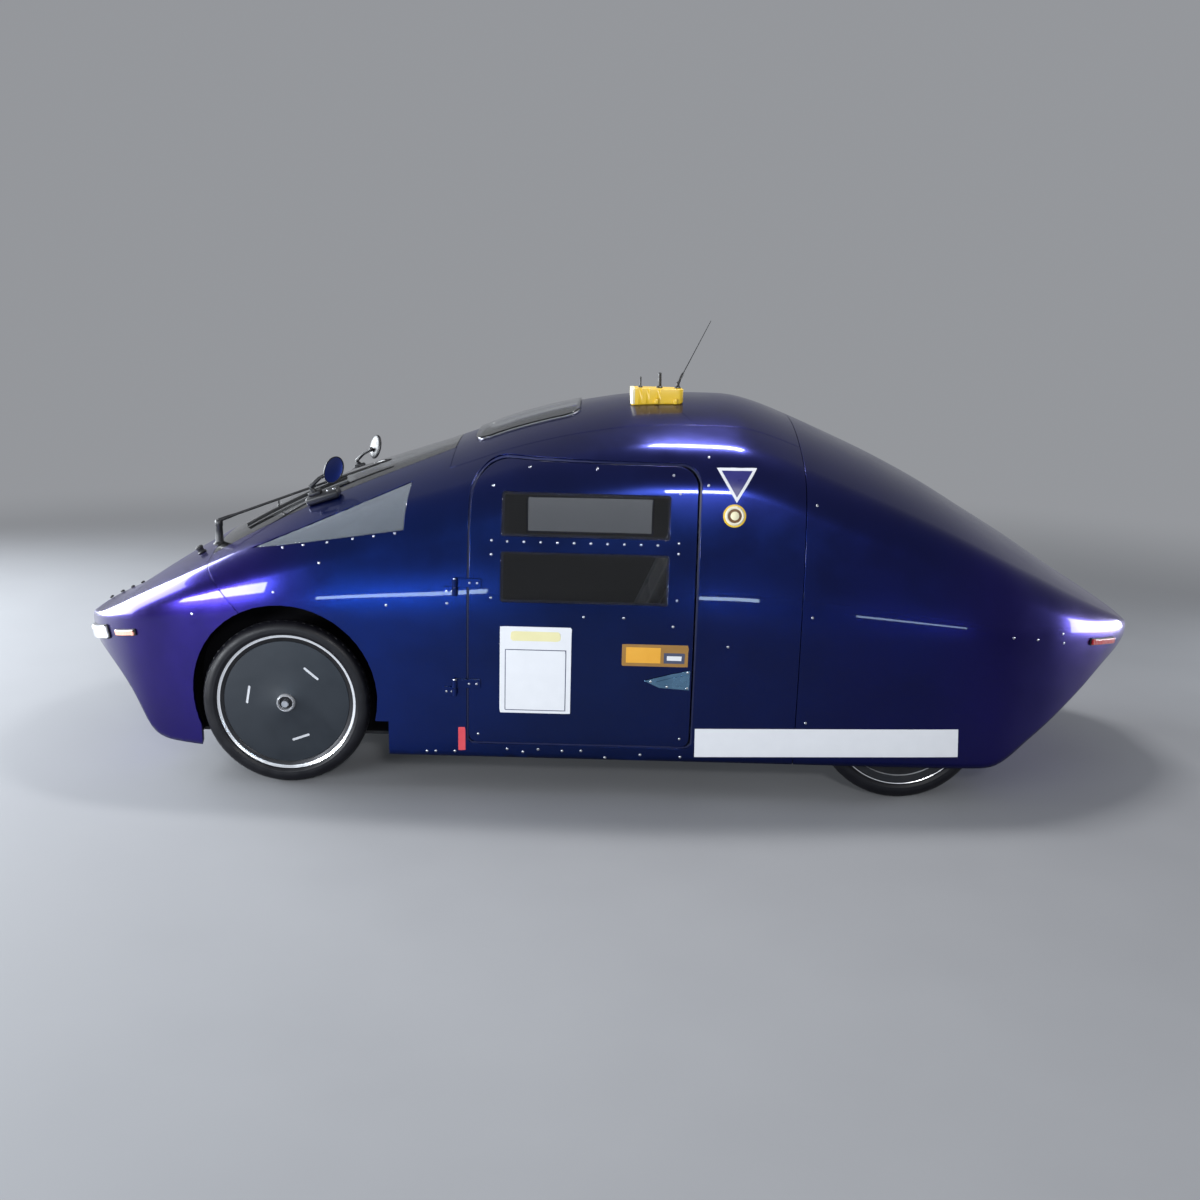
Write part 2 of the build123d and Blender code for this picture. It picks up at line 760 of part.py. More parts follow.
# Steering wheel with three spokes, and its column to the dashboard
column_dir = Vector(-cos(radians(column_tilt)), 0, -sin(radians(column_tilt)))
wheel_centre = Vector(steering_wheel_x, 0, steering_wheel_z)
wheel_plane = Plane(wheel_centre, z_dir=column_dir * -1)
boss_half = steering_wheel_tube + axial_gap
steering = wheel_plane * Torus(steering_wheel_radius, steering_wheel_tube)
steering += wheel_plane * Cylinder(2 * column_radius, 2 * boss_half)
for turn in (0, 120, 240):
    spoke = wheel_plane * Rot(0, 0, turn) * Pos(steering_wheel_radius / 2, 0, 0)
    steering += spoke * Box(steering_wheel_radius, 2 * steering_wheel_tube, steering_wheel_tube / 2)
keep("steering_wheel", steering)
column_start = wheel_centre + column_dir * (boss_half + axial_gap)
keep("steering_column", largest(rod(column_radius, column_start, wheel_centre + column_dir * column_length) - dash))


def fitting(outline, side, form, y_in=60.0):
    """A fitting on the skin: a side-view outline, from the skin out to the given form."""
    return (form & side_prism(outline, side, y_in, body_width)) - seat_form


# Lamps, let into low mouldings on the skin near both tips
lamp_form = hull(lamp_thickness)


def keep_lamps(name, end, lamp):
    """The left and right lamp at one end of the body, cornered at a fifth of their height."""
    from_tip, middle_z, length, height, rise = lamp
    outline = RectangleRounded(length, height, height / 5)
    outline = Pos(end * (half_length - from_tip), middle_z) * Rot(0, 0, -end * rise) * outline
    keep(name, *[fitting(outline, side, lamp_form) for side, _ in SIDES])


keep_lamps("headlamps", -1, headlamp)
keep_lamps("indicators", -1, indicator)
keep_lamps("tail_lamps", 1, tail_lamp)

# Stop button on the left side, behind the door
button = Pos(button_x, button_z) * Circle(button_radius)
keep("stop_button", fitting(button, LEFT, hull(button_depth), house_inner_y))

# Door latches: a tapered plate at each door's rear edge
latch_form = hull(latch_depth)
for side, word in SIDES:
    plate = make_face(Polyline(*latch_outline, close=True))
    keep(f"door_latch_{word}", fitting(plate, side, latch_form, house_inner_y))

# Roof box and the three aerials on it
roof_box = slab(
    roof_box_x - roof_box_length / 2,
    roof_box_x + roof_box_length / 2,
    roof_box_y - roof_box_width / 2,
    roof_box_y + roof_box_width / 2,
    roof_height - 2 * roof_box_width,
    roof_box_top,
)
roof_box = fillet(roof_box.edges().filter_by(Axis.Z), 12)
keep("roof_box", (roof_box - seat_form).solids().sort_by(Axis.Z)[-1])
aerial_low = roof_box_top + seat_gap
whip_base = Vector(roof_box_x + roof_box_length / 2 - 14, roof_box_y, aerial_low)
whip_knee = whip_base + Vector(14, 0, 44)
whip = rod(5, whip_base + Vector(0, 0, 0.2), whip_knee)
whip = whip - slab(-body_length, body_length, *everywhere, 0, aerial_low)
whip += rod(1.6, whip_knee - Vector(1, 0, 3), (whip_base.X + whip_reach, roof_box_y, whip_height))
keep(
    "aerials",
    rod(3, (roof_box_x - 50, roof_box_y, aerial_low), (roof_box_x - 50, roof_box_y, aerial_low + 34)),
    rod(6, (roof_box_x + 10, roof_box_y, aerial_low), (roof_box_x + 10, roof_box_y, aerial_low + 48)),
    whip,
)

# Mirrors on the windscreen pillars: a foot along the pillar, a stalk and a round head
mirror_parts = []
for side, _ in SIDES:
    skin_z = crown_height(mirror_x, mirror_y)
    foot_half = mirror_foot[0] / 2
    rise = crown_height(mirror_x + foot_half, mirror_y) - crown_height(mirror_x - foot_half, mirror_y)
    slope = atan2(rise, mirror_foot[0])
    foot = Box(mirror_foot[0], mirror_foot[1], 2 * mirror_foot[2])
    foot = fillet(foot.edges().group_by(Axis.Z)[-1], mirror_foot_corner)
    foot = Pos(mirror_x, side * mirror_y, skin_z) * Rot(0, -degrees(slope), 0) * foot
    foot = (foot - seat_form).solids().sort_by(Axis.Z)[-1]
    head_place = Vector(mirror_x + mirror_head_lead, side * mirror_y, skin_z + mirror_head_lift)
    stalk = rod(mirror_stalk_radius, (mirror_x - foot_half / 2, side * mirror_y, skin_z), head_place)
    stalk = (stalk - seat_form).solids().sort_by(Axis.Z)[-1]
    turn = Pos(*head_place) * Rot(0, mirror_lean, 0) * Rot(0, 0, side * mirror_yaw) * Rot(0, 90, 0)
    head = turn * extrude(Ellipse(*mirror_head), mirror_head_thickness / 2, both=True)
    mirror_parts.append(foot + stalk + head)
keep("mirrors", *mirror_parts)

# Wiper: a post, an arm that comes down to the screen, and a blade that follows the glass under it
wiper_x = (cowl_x + wiper_setback, cowl_x + wiper_setback + wiper_reach)
wiper_y = [inset - roof_half_width for inset in wiper_insets]


def screen_point(share, lift):
    """A point over the windscreen on the wiper's line, from 0 at the post to 1 at the arm's end."""
    x = wiper_x[0] + share * (wiper_x[1] - wiper_x[0])
    y = wiper_y[0] + share * (wiper_y[1] - wiper_y[0])
    return Vector(x, y, crown_height(x, y) + lift)


post_top = screen_point(0, wiper_lift[0])
arm_end = screen_point(1, wiper_lift[1])
post = rod(wiper_post_radius, screen_point(0, -2 * wall), post_top + Vector(0, 0, wiper_arm_radius)) - seat_form
wiper = post.solids().sort_by(Axis.Z)[-1] + rod(wiper_arm_radius, post_top, arm_end)
blade_points = [screen_point(share, wiper_blade_lift) for share in wiper_blade_span]
for start, end in zip(blade_points, blade_points[1:]):
    wiper += rod(wiper_blade_radius, start, end)
for share, start in list(zip(wiper_blade_span, blade_points))[1:3]:
    wiper += rod(wiper_arm_radius, start, post_top + (arm_end - post_top) * share)
keep("wiper", wiper)

# Door hinges: a fixed eye on the body side, and an eye with the pin on the door
hinge_x = door_front_x - hinge_reach
hinge_y = half_width + hinge_outset
fixed_eyes = []
for side, word in SIDES:
    moving = []
    for low_z in hinge_heights:
        high_z = low_z + hinge_height
        upper_z = high_z + axial_gap
        top_z = upper_z + hinge_height
        eye = rod(hinge_barrel_radius, (hinge_x, side * hinge_y, low_z), (hinge_x, side * hinge_y, high_z))
        leaf_x = hinge_x - hinge_leaf_length
        eye += side_slab(leaf_x, hinge_x, side, half_width / 2, hinge_y, low_z, high_z)
        bore = rod(
            hinge_pin_radius + running_clearance,
            (hinge_x, side * hinge_y, low_z - 1),
            (hinge_x, side * hinge_y, high_z + 1),
        )
        eye = (eye - seat_form).solids().sort_by_distance((hinge_x, side * hinge_y, low_z))[0]
        fixed_eyes.append(eye - bore)
        eye = rod(hinge_barrel_radius, (hinge_x, side * hinge_y, upper_z), (hinge_x, side * hinge_y, top_z))
        leaf_x = door_front_x + hinge_leaf_length
        eye += side_slab(hinge_x, leaf_x, side, half_width / 2, hinge_y, upper_z, top_z)
        eye = (eye - seat_form).solids().sort_by_distance((hinge_x, side * hinge_y, upper_z))[0]
        eye += rod(hinge_pin_radius, (hinge_x, side * hinge_y, low_z), (hinge_x, side * hinge_y, top_z))
        moving.append(eye)
    keep(f"door_hinges_{word}", *moving)
keep("hinge_mounts", *fixed_eyes)

os.makedirs("parts", exist_ok=True)
for name, solids in nodes.items():
    shape = solids[0] if len(solids) == 1 else Compound(solids)
    export_step(shape, f"parts/{name}.step")
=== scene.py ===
from math import atan2, ceil, cos, exp, hypot, pi, radians, sin, sqrt, tan

import bmesh
import bpy
from mathutils import Matrix, Vector


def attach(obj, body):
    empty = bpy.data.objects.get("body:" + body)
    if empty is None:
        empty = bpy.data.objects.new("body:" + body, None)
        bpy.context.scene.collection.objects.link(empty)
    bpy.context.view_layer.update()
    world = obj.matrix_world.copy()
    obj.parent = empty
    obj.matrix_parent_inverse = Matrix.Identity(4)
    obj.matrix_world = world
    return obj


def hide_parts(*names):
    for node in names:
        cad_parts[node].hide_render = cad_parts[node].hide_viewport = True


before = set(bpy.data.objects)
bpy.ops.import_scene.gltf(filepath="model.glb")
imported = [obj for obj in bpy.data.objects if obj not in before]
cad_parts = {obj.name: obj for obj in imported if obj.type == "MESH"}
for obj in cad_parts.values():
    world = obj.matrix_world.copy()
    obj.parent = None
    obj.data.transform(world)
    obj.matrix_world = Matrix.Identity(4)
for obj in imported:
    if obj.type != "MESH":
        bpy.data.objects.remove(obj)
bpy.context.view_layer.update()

# Hull: a self-carrying body of laminated composite, moulded over one plug and painted.
# Every panel, pane and lamp follows its skin. Its form is a row of cross-sections of tangent arcs,
# and their sizes run smoothly from nose to tail.
HALF_LENGTH = 1.690
HALF_WIDTH = 0.610
ROOF_HEIGHT = 1.160
GROUND_CLEARANCE = 0.108
FLOOR_INSET = 0.014
SIDE_LEAN = radians(10)
TIP_LENGTH = 0.024
TIP_NARROWING = 0.030
TIP_SQUASH_LEAST = 0.03

# How far the side leans in above the belt, and how large the shoulder's radius is: each a share of
# the height from belt to top, plus a share of its square.
SIDE_RISE = (0.20, 0.72)
SHOULDER_RADIUS = (0.58, -0.50)

# Stations along the body: place as a share of the half length, half width, belt, top and
# underside as shares of the greatest width and of the roof's height.
STATIONS = (
    (-1.000, 0.230, 0.345, 0.364, 0.200),
    (-0.980, 0.350, 0.352, 0.376, 0.206),
    (-0.950, 0.500, 0.362, 0.395, 0.200),
    (-0.905, 0.645, 0.378, 0.434, 0.168),
    (-0.860, 0.755, 0.392, 0.478, 0.110),
    (-0.815, 0.825, 0.404, 0.519, 0.012),
    (-0.780, 0.870, 0.415, 0.549, 0.000),
    (-0.720, 0.930, 0.428, 0.601, 0.000),
    (-0.640, 0.975, 0.438, 0.668, 0.000),
    (-0.560, 0.995, 0.442, 0.726, 0.000),
    (-0.470, 1.000, 0.442, 0.778, 0.000),
    (-0.380, 1.000, 0.438, 0.823, 0.000),
    (-0.280, 1.000, 0.432, 0.872, 0.000),
    (-0.180, 1.000, 0.428, 0.927, 0.000),
    (-0.060, 1.000, 0.424, 0.972, 0.000),
    (0.060, 1.000, 0.420, 0.997, 0.000),
    (0.150, 1.000, 0.420, 1.000, 0.000),
    (0.210, 1.000, 0.420, 1.000, 0.000),
    (0.260, 1.000, 0.420, 0.985, 0.000),
    (0.330, 1.000, 0.420, 0.948, 0.000),
    (0.400, 1.000, 0.420, 0.906, 0.000),
    (0.500, 1.000, 0.420, 0.842, 0.000),
    (0.600, 0.997, 0.420, 0.768, 0.000),
    (0.670, 0.985, 0.420, 0.708, 0.000),
    (0.760, 0.890, 0.416, 0.632, 0.076),
    (0.850, 0.735, 0.410, 0.549, 0.168),
    (0.930, 0.545, 0.402, 0.479, 0.248),
    (0.980, 0.370, 0.394, 0.433, 0.275),
    (1.000, 0.220, 0.390, 0.412, 0.275),
)
FORM_STEPS = 400
FORM_FAIRING = (24, 24, 24, 8)


def faired_column(column):
    """One size along the body at FORM_STEPS even steps: a curve through the stations, then faired."""
    places = [row[0] for row in STATIONS]
    sizes = [row[column] for row in STATIONS]
    rises = [
        (sizes[k + 1] - sizes[k]) / (places[k + 1] - places[k]) for k in range(len(places) - 1)
    ]
    slopes = [rises[0]]
    for before, after in zip(rises, rises[1:]):
        slopes.append(0.0 if before * after <= 0 else 2 * before * after / (before + after))
    slopes.append(rises[-1])
    line = []
    k = 0
    for step in range(FORM_STEPS + 1):
        place = 2 * step / FORM_STEPS - 1
        while k < len(places) - 2 and place > places[k + 1]:
            k += 1
        run = places[k + 1] - places[k]
        t = (place - places[k]) / run
        line.append(
            sizes[k] * (1 + 2 * t) * (1 - t) ** 2
            + slopes[k] * run * t * (1 - t) ** 2
            + sizes[k + 1] * t * t * (3 - 2 * t)
            - slopes[k + 1] * run * t * t * (1 - t)
        )
    for _ in range(FORM_FAIRING[column - 1]):
        inner = [(a + 2 * b + c) / 4 for a, b, c in zip(line, line[1:], line[2:])]
        line = [line[0]] + inner + [line[-1]]
    return line


FORM = [faired_column(column) for column in (1, 2, 3, 4)]


def form_at(x):
    """The cross-section's sizes at x, by a cubic through the four nearest steps."""
    place = (min(max(x / HALF_LENGTH, -1), 1) + 1) / 2 * FORM_STEPS
    k = min(max(int(place), 1), FORM_STEPS - 2)
    t = place - k
    shares = []
    for line in FORM:
        a, b, c, d = line[k - 1 : k + 3]
        bend = 2 * a - 5 * b + 4 * c - d + t * (3 * (b - c) + d - a)
        shares.append(b + t / 2 * (c - a + t * bend))
    width_share, belt_share, top_share, low_share = shares
    width = width_share * HALF_WIDTH
    belt = belt_share * ROOF_HEIGHT
    top = top_share * ROOF_HEIGHT
    low = GROUND_CLEARANCE + low_share * ROOF_HEIGHT
    upper = top_share - belt_share
    rise = upper * (SIDE_RISE[0] + SIDE_RISE[1] * upper) * ROOF_HEIGHT
    shoulder = upper * (SHOULDER_RADIUS[0] + SHOULDER_RADIUS[1] * upper) * ROOF_HEIGHT
    side_radius = rise / sin(SIDE_LEAN)
    shoulder_y = width - side_radius * (1 - cos(SIDE_LEAN)) - shoulder * cos(SIDE_LEAN)
    shoulder_z = belt + rise - shoulder * sin(SIDE_LEAN)
    height = top - shoulder_z
    crown_radius = (shoulder_y**2 + height**2 - shoulder**2) / (2 * (height - shoulder))
    crown_angle = atan2(shoulder_z - top + crown_radius, shoulder_y)
    drop = belt - low
    low_radius = (FLOOR_INSET**2 + drop**2) / (2 * FLOOR_INSET)
    tip = max(abs(x) - (HALF_LENGTH - TIP_LENGTH), 0) / TIP_LENGTH
    squash = sqrt(max(1 - tip * tip, TIP_SQUASH_LEAST**2))
    return {
        "width": width, "belt": belt, "top": top, "low": low, "middle": (top + low) / 2,
        "side_radius": side_radius, "shoulder": shoulder, "shoulder_y": shoulder_y,
        "shoulder_z": shoulder_z, "crown_radius": crown_radius, "crown_angle": crown_angle,
        "low_radius": low_radius, "squash": squash,
    }


# Shares of the way round a half section at which one stretch ends and the next starts
AROUND = {"floor": 0.14, "lower": 0.40, "side": 0.58, "shoulder": 0.80, "crown": 1.0}


def skin_point(x, around):
    """The skin's distance from the middle plane and its height, from 0 below to 1 at the crown."""
    f = form_at(x)
    if around <= AROUND["floor"]:
        y = (f["width"] - FLOOR_INSET) * around / AROUND["floor"]
        z = f["low"]
    elif around <= AROUND["lower"]:
        share = (AROUND["lower"] - around) / (AROUND["lower"] - AROUND["floor"])
        angle = share * atan2(f["belt"] - f["low"], f["low_radius"] - FLOOR_INSET)
        y = f["width"] - f["low_radius"] * (1 - cos(angle))
        z = f["belt"] - f["low_radius"] * sin(angle)
    elif around <= AROUND["side"]:
        angle = SIDE_LEAN * (around - AROUND["lower"]) / (AROUND["side"] - AROUND["lower"])
        y = f["width"] - f["side_radius"] * (1 - cos(angle))
        z = f["belt"] + f["side_radius"] * sin(angle)
    elif around <= AROUND["shoulder"]:
        share = (around - AROUND["side"]) / (AROUND["shoulder"] - AROUND["side"])
        angle = SIDE_LEAN + share * (f["crown_angle"] - SIDE_LEAN)
        y = f["shoulder_y"] + f["shoulder"] * cos(angle)
        z = f["shoulder_z"] + f["shoulder"] * sin(angle)
    else:
        share = (around - AROUND["shoulder"]) / (1 - AROUND["shoulder"])
        angle = f["crown_angle"] + share * (pi / 2 - f["crown_angle"])
        y = f["crown_radius"] * cos(angle)
        z = f["top"] - f["crown_radius"] * (1 - sin(angle))
    y = max(y - (1 - f["squash"]) * TIP_NARROWING, 0)
    return y, f["middle"] + (z - f["middle"]) * f["squash"]


def skin_distance(x, y, z):
    """How far a point lies outside the skin, measured in its cross-section."""
    f = form_at(x)
    y = abs(y) + (1 - f["squash"]) * TIP_NARROWING
    z = f["middle"] + (z - f["middle"]) / f["squash"]
    angle = atan2(z - f["shoulder_z"], y - f["shoulder_y"])
    if z > f["belt"] and angle > f["crown_angle"]:
        out = hypot(y, z - f["top"] + f["crown_radius"]) - f["crown_radius"]
    elif z > f["belt"] and angle > SIDE_LEAN:
        out = hypot(y - f["shoulder_y"], z - f["shoulder_z"]) - f["shoulder"]
    elif z >= f["belt"]:
        out = hypot(y - f["width"] + f["side_radius"], z - f["belt"]) - f["side_radius"]
    else:
        out = hypot(y - f["width"] + f["low_radius"], z - f["belt"]) - f["low_radius"]
        out = max(out, f["low"] - z)
    return out * f["squash"]


def skin_normal(point):
    """The skin's outward direction nearest to a point."""
    x, y, z = point
    x = min(max(x, 0.001 - HALF_LENGTH), HALF_LENGTH - 0.001)
    d = 0.0008
    slope = Vector((
        skin_distance(x + d, y, z) - skin_distance(x - d, y, z),
        skin_distance(x, y + d, z) - skin_distance(x, y - d, z),
        skin_distance(x, y, z + d) - skin_distance(x, y, z - d),
    ))
    return slope.normalized()


def on_skin(point, lift=0.0):
    """The place on the skin nearest to a point, or that far outside it."""
    point = Vector(point)
    for _ in range(3):
        normal = skin_normal(point)
        point = point - normal * (skin_distance(*point) - lift)
    return point


# Paint: a colour-shift metallic under clear lacquer, sprayed on the mouldings, its own blue on the
# flanks. Its colour is set by place: the violet on the nose and tail and the lighter violet on the
# crown are painted reflection, and the darker navy behind the doors is painted shade. Inside, the
# bare laminate is dark.
# Colours along the body: the paint's own blue, with painted reflection and painted shade laid over it.
PAINT_AND_PAINTED_LIGHT_STOPS = (
    (-1.69, (0.022, 0.008, 0.120)),
    (-1.15, (0.018, 0.010, 0.165)),
    (-0.75, (0.0008, 0.017, 0.150)),
    (-0.10, (0.0004, 0.012, 0.092)),
    (0.45, (0.0003, 0.008, 0.088)),
    (0.85, (0.0005, 0.004, 0.085)),
    (1.25, (0.008, 0.004, 0.120)),
    (1.69, (0.042, 0.013, 0.190)),
)
CROWN_PAINTED_REFLECTION = (0.016, 0.012, 0.110)
CROWN_REFLECTION_Z = (0.80, 1.15)
CROWN_REFLECTION_MOST = 0.75
FLAKE_SHARE = 0.12


def add_node(tree, kind, settings=None, **inputs):
    """A node whose inputs are given as values or as other nodes' outputs."""
    node = tree.nodes.new("ShaderNode" + kind)
    for name, value in (settings or {}).items():
        setattr(node, name, value)
    for name, value in inputs.items():
        socket = node.inputs[name.replace("_", " ")]
        if isinstance(value, bpy.types.NodeSocket):
            tree.links.new(value, socket)
        else:
            socket.default_value = value
    return node


def finish(name, low, high, grain, rough, bump=0.0, bump_grain=None, **sockets):
    """A material whose colour and roughness wander between two values, with a fine relief."""
    material = bpy.data.materials.new(name)
    material.use_nodes = True
    tree = material.node_tree
    shader = tree.nodes["Principled BSDF"]
    place = add_node(tree, "TexCoord").outputs["Object"]
    wander = add_node(tree, "TexNoise", Vector=place, Scale=grain, Detail=4)
    colour = add_node(
        tree, "Mix", {"data_type": "RGBA"}, A=(*low, 1), B=(*high, 1), Factor=wander.outputs["Fac"]
    )
    tree.links.new(colour.outputs["Result"], shader.inputs["Base Color"])
    span = add_node(
        tree, "MapRange", Value=wander.outputs["Fac"], From_Min=0.3, From_Max=0.7, To_Min=rough[0],
        To_Max=rough[1],
    )
    tree.links.new(span.outputs["Result"], shader.inputs["Roughness"])
    if bump:
        fine = add_node(tree, "TexNoise", Vector=place, Scale=bump_grain or grain * 8, Detail=3)
        relief = add_node(tree, "Bump", Height=fine.outputs["Fac"], Strength=0.6, Distance=bump)
        tree.links.new(relief.outputs["Normal"], shader.inputs["Normal"])
    for socket, value in sockets.items():
        shader.inputs[socket.replace("_", " ")].default_value = value
    return material


def paint_material():
    """Colour by place, with painted reflection and shade along the body and a lighter, violet painted
    reflection at the crown.
    """
    material = finish(
        "colour_shift_paint", (0, 0, 0), (1, 1, 1), 9, (0.20, 0.27), 0.00004, 900,
        Metallic=0.90, Coat_Weight=0.35, Coat_Roughness=0.02, Coat_IOR=1.5,
    )
    tree = material.node_tree
    place = add_node(tree, "SeparateXYZ", Vector=tree.nodes["Texture Coordinate"].outputs["Object"])
    along = add_node(
        tree, "MapRange", Value=place.outputs["X"], From_Min=-HALF_LENGTH, From_Max=HALF_LENGTH
    )
    ramp = add_node(tree, "ValToRGB", Fac=along.outputs["Result"])
    ramp.color_ramp.interpolation = "EASE"
    for k, (x, tone) in enumerate(PAINT_AND_PAINTED_LIGHT_STOPS):
        share = (x + HALF_LENGTH) / (2 * HALF_LENGTH)
        stop = ramp.color_ramp.elements[k] if k < 2 else ramp.color_ramp.elements.new(share)
        stop.position = share
        stop.color = (*tone, 1)
    # Painted reflection: the colour turns lighter and more violet towards the crown.
    up = add_node(
        tree, "MapRange", Value=place.outputs["Z"], From_Min=CROWN_REFLECTION_Z[0],
        From_Max=CROWN_REFLECTION_Z[1], To_Max=CROWN_REFLECTION_MOST,
    )
    crown = add_node(
        tree, "Mix", {"data_type": "RGBA"}, A=ramp.outputs["Color"], B=(*CROWN_PAINTED_REFLECTION, 1),
        Factor=up.outputs["Result"],
    )
    flake = add_node(
        tree, "Mix", {"data_type": "RGBA", "blend_type": "OVERLAY"}, A=crown.outputs["Result"],
        B=tree.nodes["Noise Texture"].outputs["Fac"], Factor=FLAKE_SHARE,
    )
    tree.links.new(flake.outputs["Result"], tree.nodes["Principled BSDF"].inputs["Base Color"])
    return material


paint = paint_material()
lining = finish(
    "laminate_lining", (0.012, 0.013, 0.016), (0.03, 0.031, 0.036), 60, (0.45, 0.62), 0.0003, 420
)

# Side panels: one moulding a side, from the nose's seam to the tail's. Each carries the opening of a
# door, the hole of a quarter window and a front wheel's arch, and butts to nose, roof and tail.
WALL = 0.010
SEAM = 0.0008
EDGE = 0.0012
COWL_X = -1.220
COWL_Z = 0.682
COWL_SLOPE = 0.9
ROOF_FRONT_X = -0.490
TAIL_SEAM_X = 0.555
ROOF_HALF_WIDTH = 0.380
HUB_Z = 0.250
FRONT_AXLE_X = -0.955
ARCH_RADIUS = 0.278
ARCH_Z = HUB_Z + 0.026
ARCH_FRONT_X = FRONT_AXLE_X - 0.258
ARCH_REAR_X = FRONT_AXLE_X + 0.310
ARCH_CORNER_Z = 0.212
DOOR = {"x": (-0.408, 0.243), "z": (0.155, 0.980), "corners": (0.025, 0.025, 0.060, 0.110)}
DOOR_GAPS = {"front": 0.006, "rear": 0.010, "low": 0.006, "top": 0.009}
QUARTER = [(-1.050, 0.708), (-0.600, 0.780), (-0.600, 0.898)]
SCREEN_HALF = [(-1.485, 0.465), (-0.955, 0.365), (ROOF_FRONT_X, 0.215)]
SCREEN = [*SCREEN_HALF, *[(x, -y) for x, y in reversed(SCREEN_HALF)]]

# A sheet of the skin has square cells of CELL, and half a section is about GIRTH long. A cut moves
# what lies within SNAP of its line onto it.
CELL = 0.017
GIRTH = 1.75
SNAP = 0.0012
LEFT, RIGHT = -1, 1
SIDES = ((LEFT, "left"), (RIGHT, "right"))


def skin_sheet(side, x_low, x_high, around_low, around_high, cell=CELL):
    """A fine sheet of the skin on one side, with a row of its grid at the end of every arc."""
    columns = ceil((x_high - x_low) / cell)
    ends = [around_low] + [a for a in AROUND.values() if around_low < a < around_high] + [around_high]
    rows = []
    for low, high in zip(ends, ends[1:]):
        count = ceil((high - low) * GIRTH / cell)
        rows += [low + (high - low) * k / count for k in range(count)]
    rows.append(around_high)
    bm = bmesh.new()
    bmesh.ops.create_grid(bm, x_segments=columns, y_segments=len(rows) - 1, size=1)
    for vert in bm.verts:
        x = x_low + (x_high - x_low) * (vert.co.x + 1) / 2
        y, z = skin_point(x, rows[round((vert.co.y + 1) / 2 * (len(rows) - 1))])
        vert.co = (x, side * y, z)
    bm.normal_update()
    bm.faces.ensure_lookup_table()
    face = bm.faces[len(bm.faces) // 2]
    if face.normal.dot(skin_normal(face.calc_center_median())) < 0:
        bmesh.ops.reverse_faces(bm, faces=bm.faces[:])
    return bm


def parts_of(faces):
    """Faces with their edges and corners, as the operators ask for them."""
    edges = {edge for face in faces for edge in face.edges}
    verts = {vert for face in faces for vert in face.verts}
    return list(faces) + list(edges) + list(verts)


def trim(bm, point, direction):
    """Cuts a sheet at a plane and throws away what lies in that direction."""
    bmesh.ops.bisect_plane(
        bm, geom=parts_of(bm.faces), dist=SNAP, plane_co=point, plane_no=direction,
        use_snap_center=True, clear_outer=True,
    )


def outline_planes(outline, plan):
    """A point and an outward direction for each edge of a side-view outline, or of one in plan."""
    axis = Vector((0, 0, 1)) if plan else Vector((0, 1, 0))
    corners = [Vector((x, z, 0)) if plan else Vector((x, 0, z)) for x, z in outline]
    middle = sum(corners, Vector()) / len(corners)
    for start, end in zip(corners, corners[1:] + corners[:1]):
        direction = (end - start).cross(axis).normalized()
        if direction.dot(start - middle) < 0:
            direction.negate()
        yield (start + end) / 2, direction


def trim_to(bm, outline, plan=False):
    """Keeps what lies inside a convex outline."""
    for point, direction in outline_planes(outline, plan):
        trim(bm, point, direction)


def cut_into(bm, outline, faces, plan=False, snap=SNAP):
    """Cuts a convex outline into some faces and gives the ones inside it."""
    for point, direction in outline_planes(outline, plan):
        result = bmesh.ops.bisect_plane(
            bm, geom=parts_of(faces), dist=snap, plane_co=point, plane_no=direction,
            use_snap_center=True,
        )
        faces = [part for part in result["geom"] if isinstance(part, bmesh.types.BMFace)]
        faces = [f for f in faces if (f.calc_center_median() - point).dot(direction) < 0]
    return faces


def cut_out(bm, outline, plan=False):
    """Cuts a convex outline out of a sheet."""
    inside = cut_into(bm, outline, list(bm.faces), plan)
    bmesh.ops.delete(bm, geom=inside, context="FACES")


def rounded_outline(x0, x1, z0, z1, radii, steps=8):
    """A rectangle with rounded corners: low front, low rear, high rear and high front."""
    if isinstance(radii, float):
        radii = (radii,) * 4
    corners = (
        (x0 + radii[0], z0 + radii[0], pi, radii[0]),
        (x1 - radii[1], z0 + radii[1], 1.5 * pi, radii[1]),
        (x1 - radii[2], z1 - radii[2], 0.0, radii[2]),
        (x0 + radii[3], z1 - radii[3], 0.5 * pi, radii[3]),
    )
    outline = []
    for x, z, start, radius in corners:
        for step in range(steps + 1):
            angle = start + step / steps * pi / 2
            outline.append((x + radius * cos(angle), z + radius * sin(angle)))
    return outline


def round_outline(x, z, radius, steps):
    """A circle in side view."""
    turns = [2 * pi * k / steps for k in range(steps)]
    return [(x + radius * cos(turn), z + radius * sin(turn)) for turn in turns]


def grown(outline, by):
    """A convex outline moved outwards by a distance, corner by corner."""
    middle_x = sum(p[0] for p in outline) / len(outline)
    middle_z = sum(p[1] for p in outline) / len(outline)
    result = []
    for k, (x, z) in enumerate(outline):
        x0, z0 = outline[k - 1]
        x1, z1 = outline[(k + 1) % len(outline)]
        first = Vector((z - z0, x0 - x)).normalized()
        second = Vector((z1 - z, x - x1)).normalized()
        bend = first + second
        out = bend / bend.dot(first)
        if out.dot(Vector((x - middle_x, z - middle_z))) < 0:
            out = -out
        result.append((x + out.x * by, z + out.y * by))
    return result


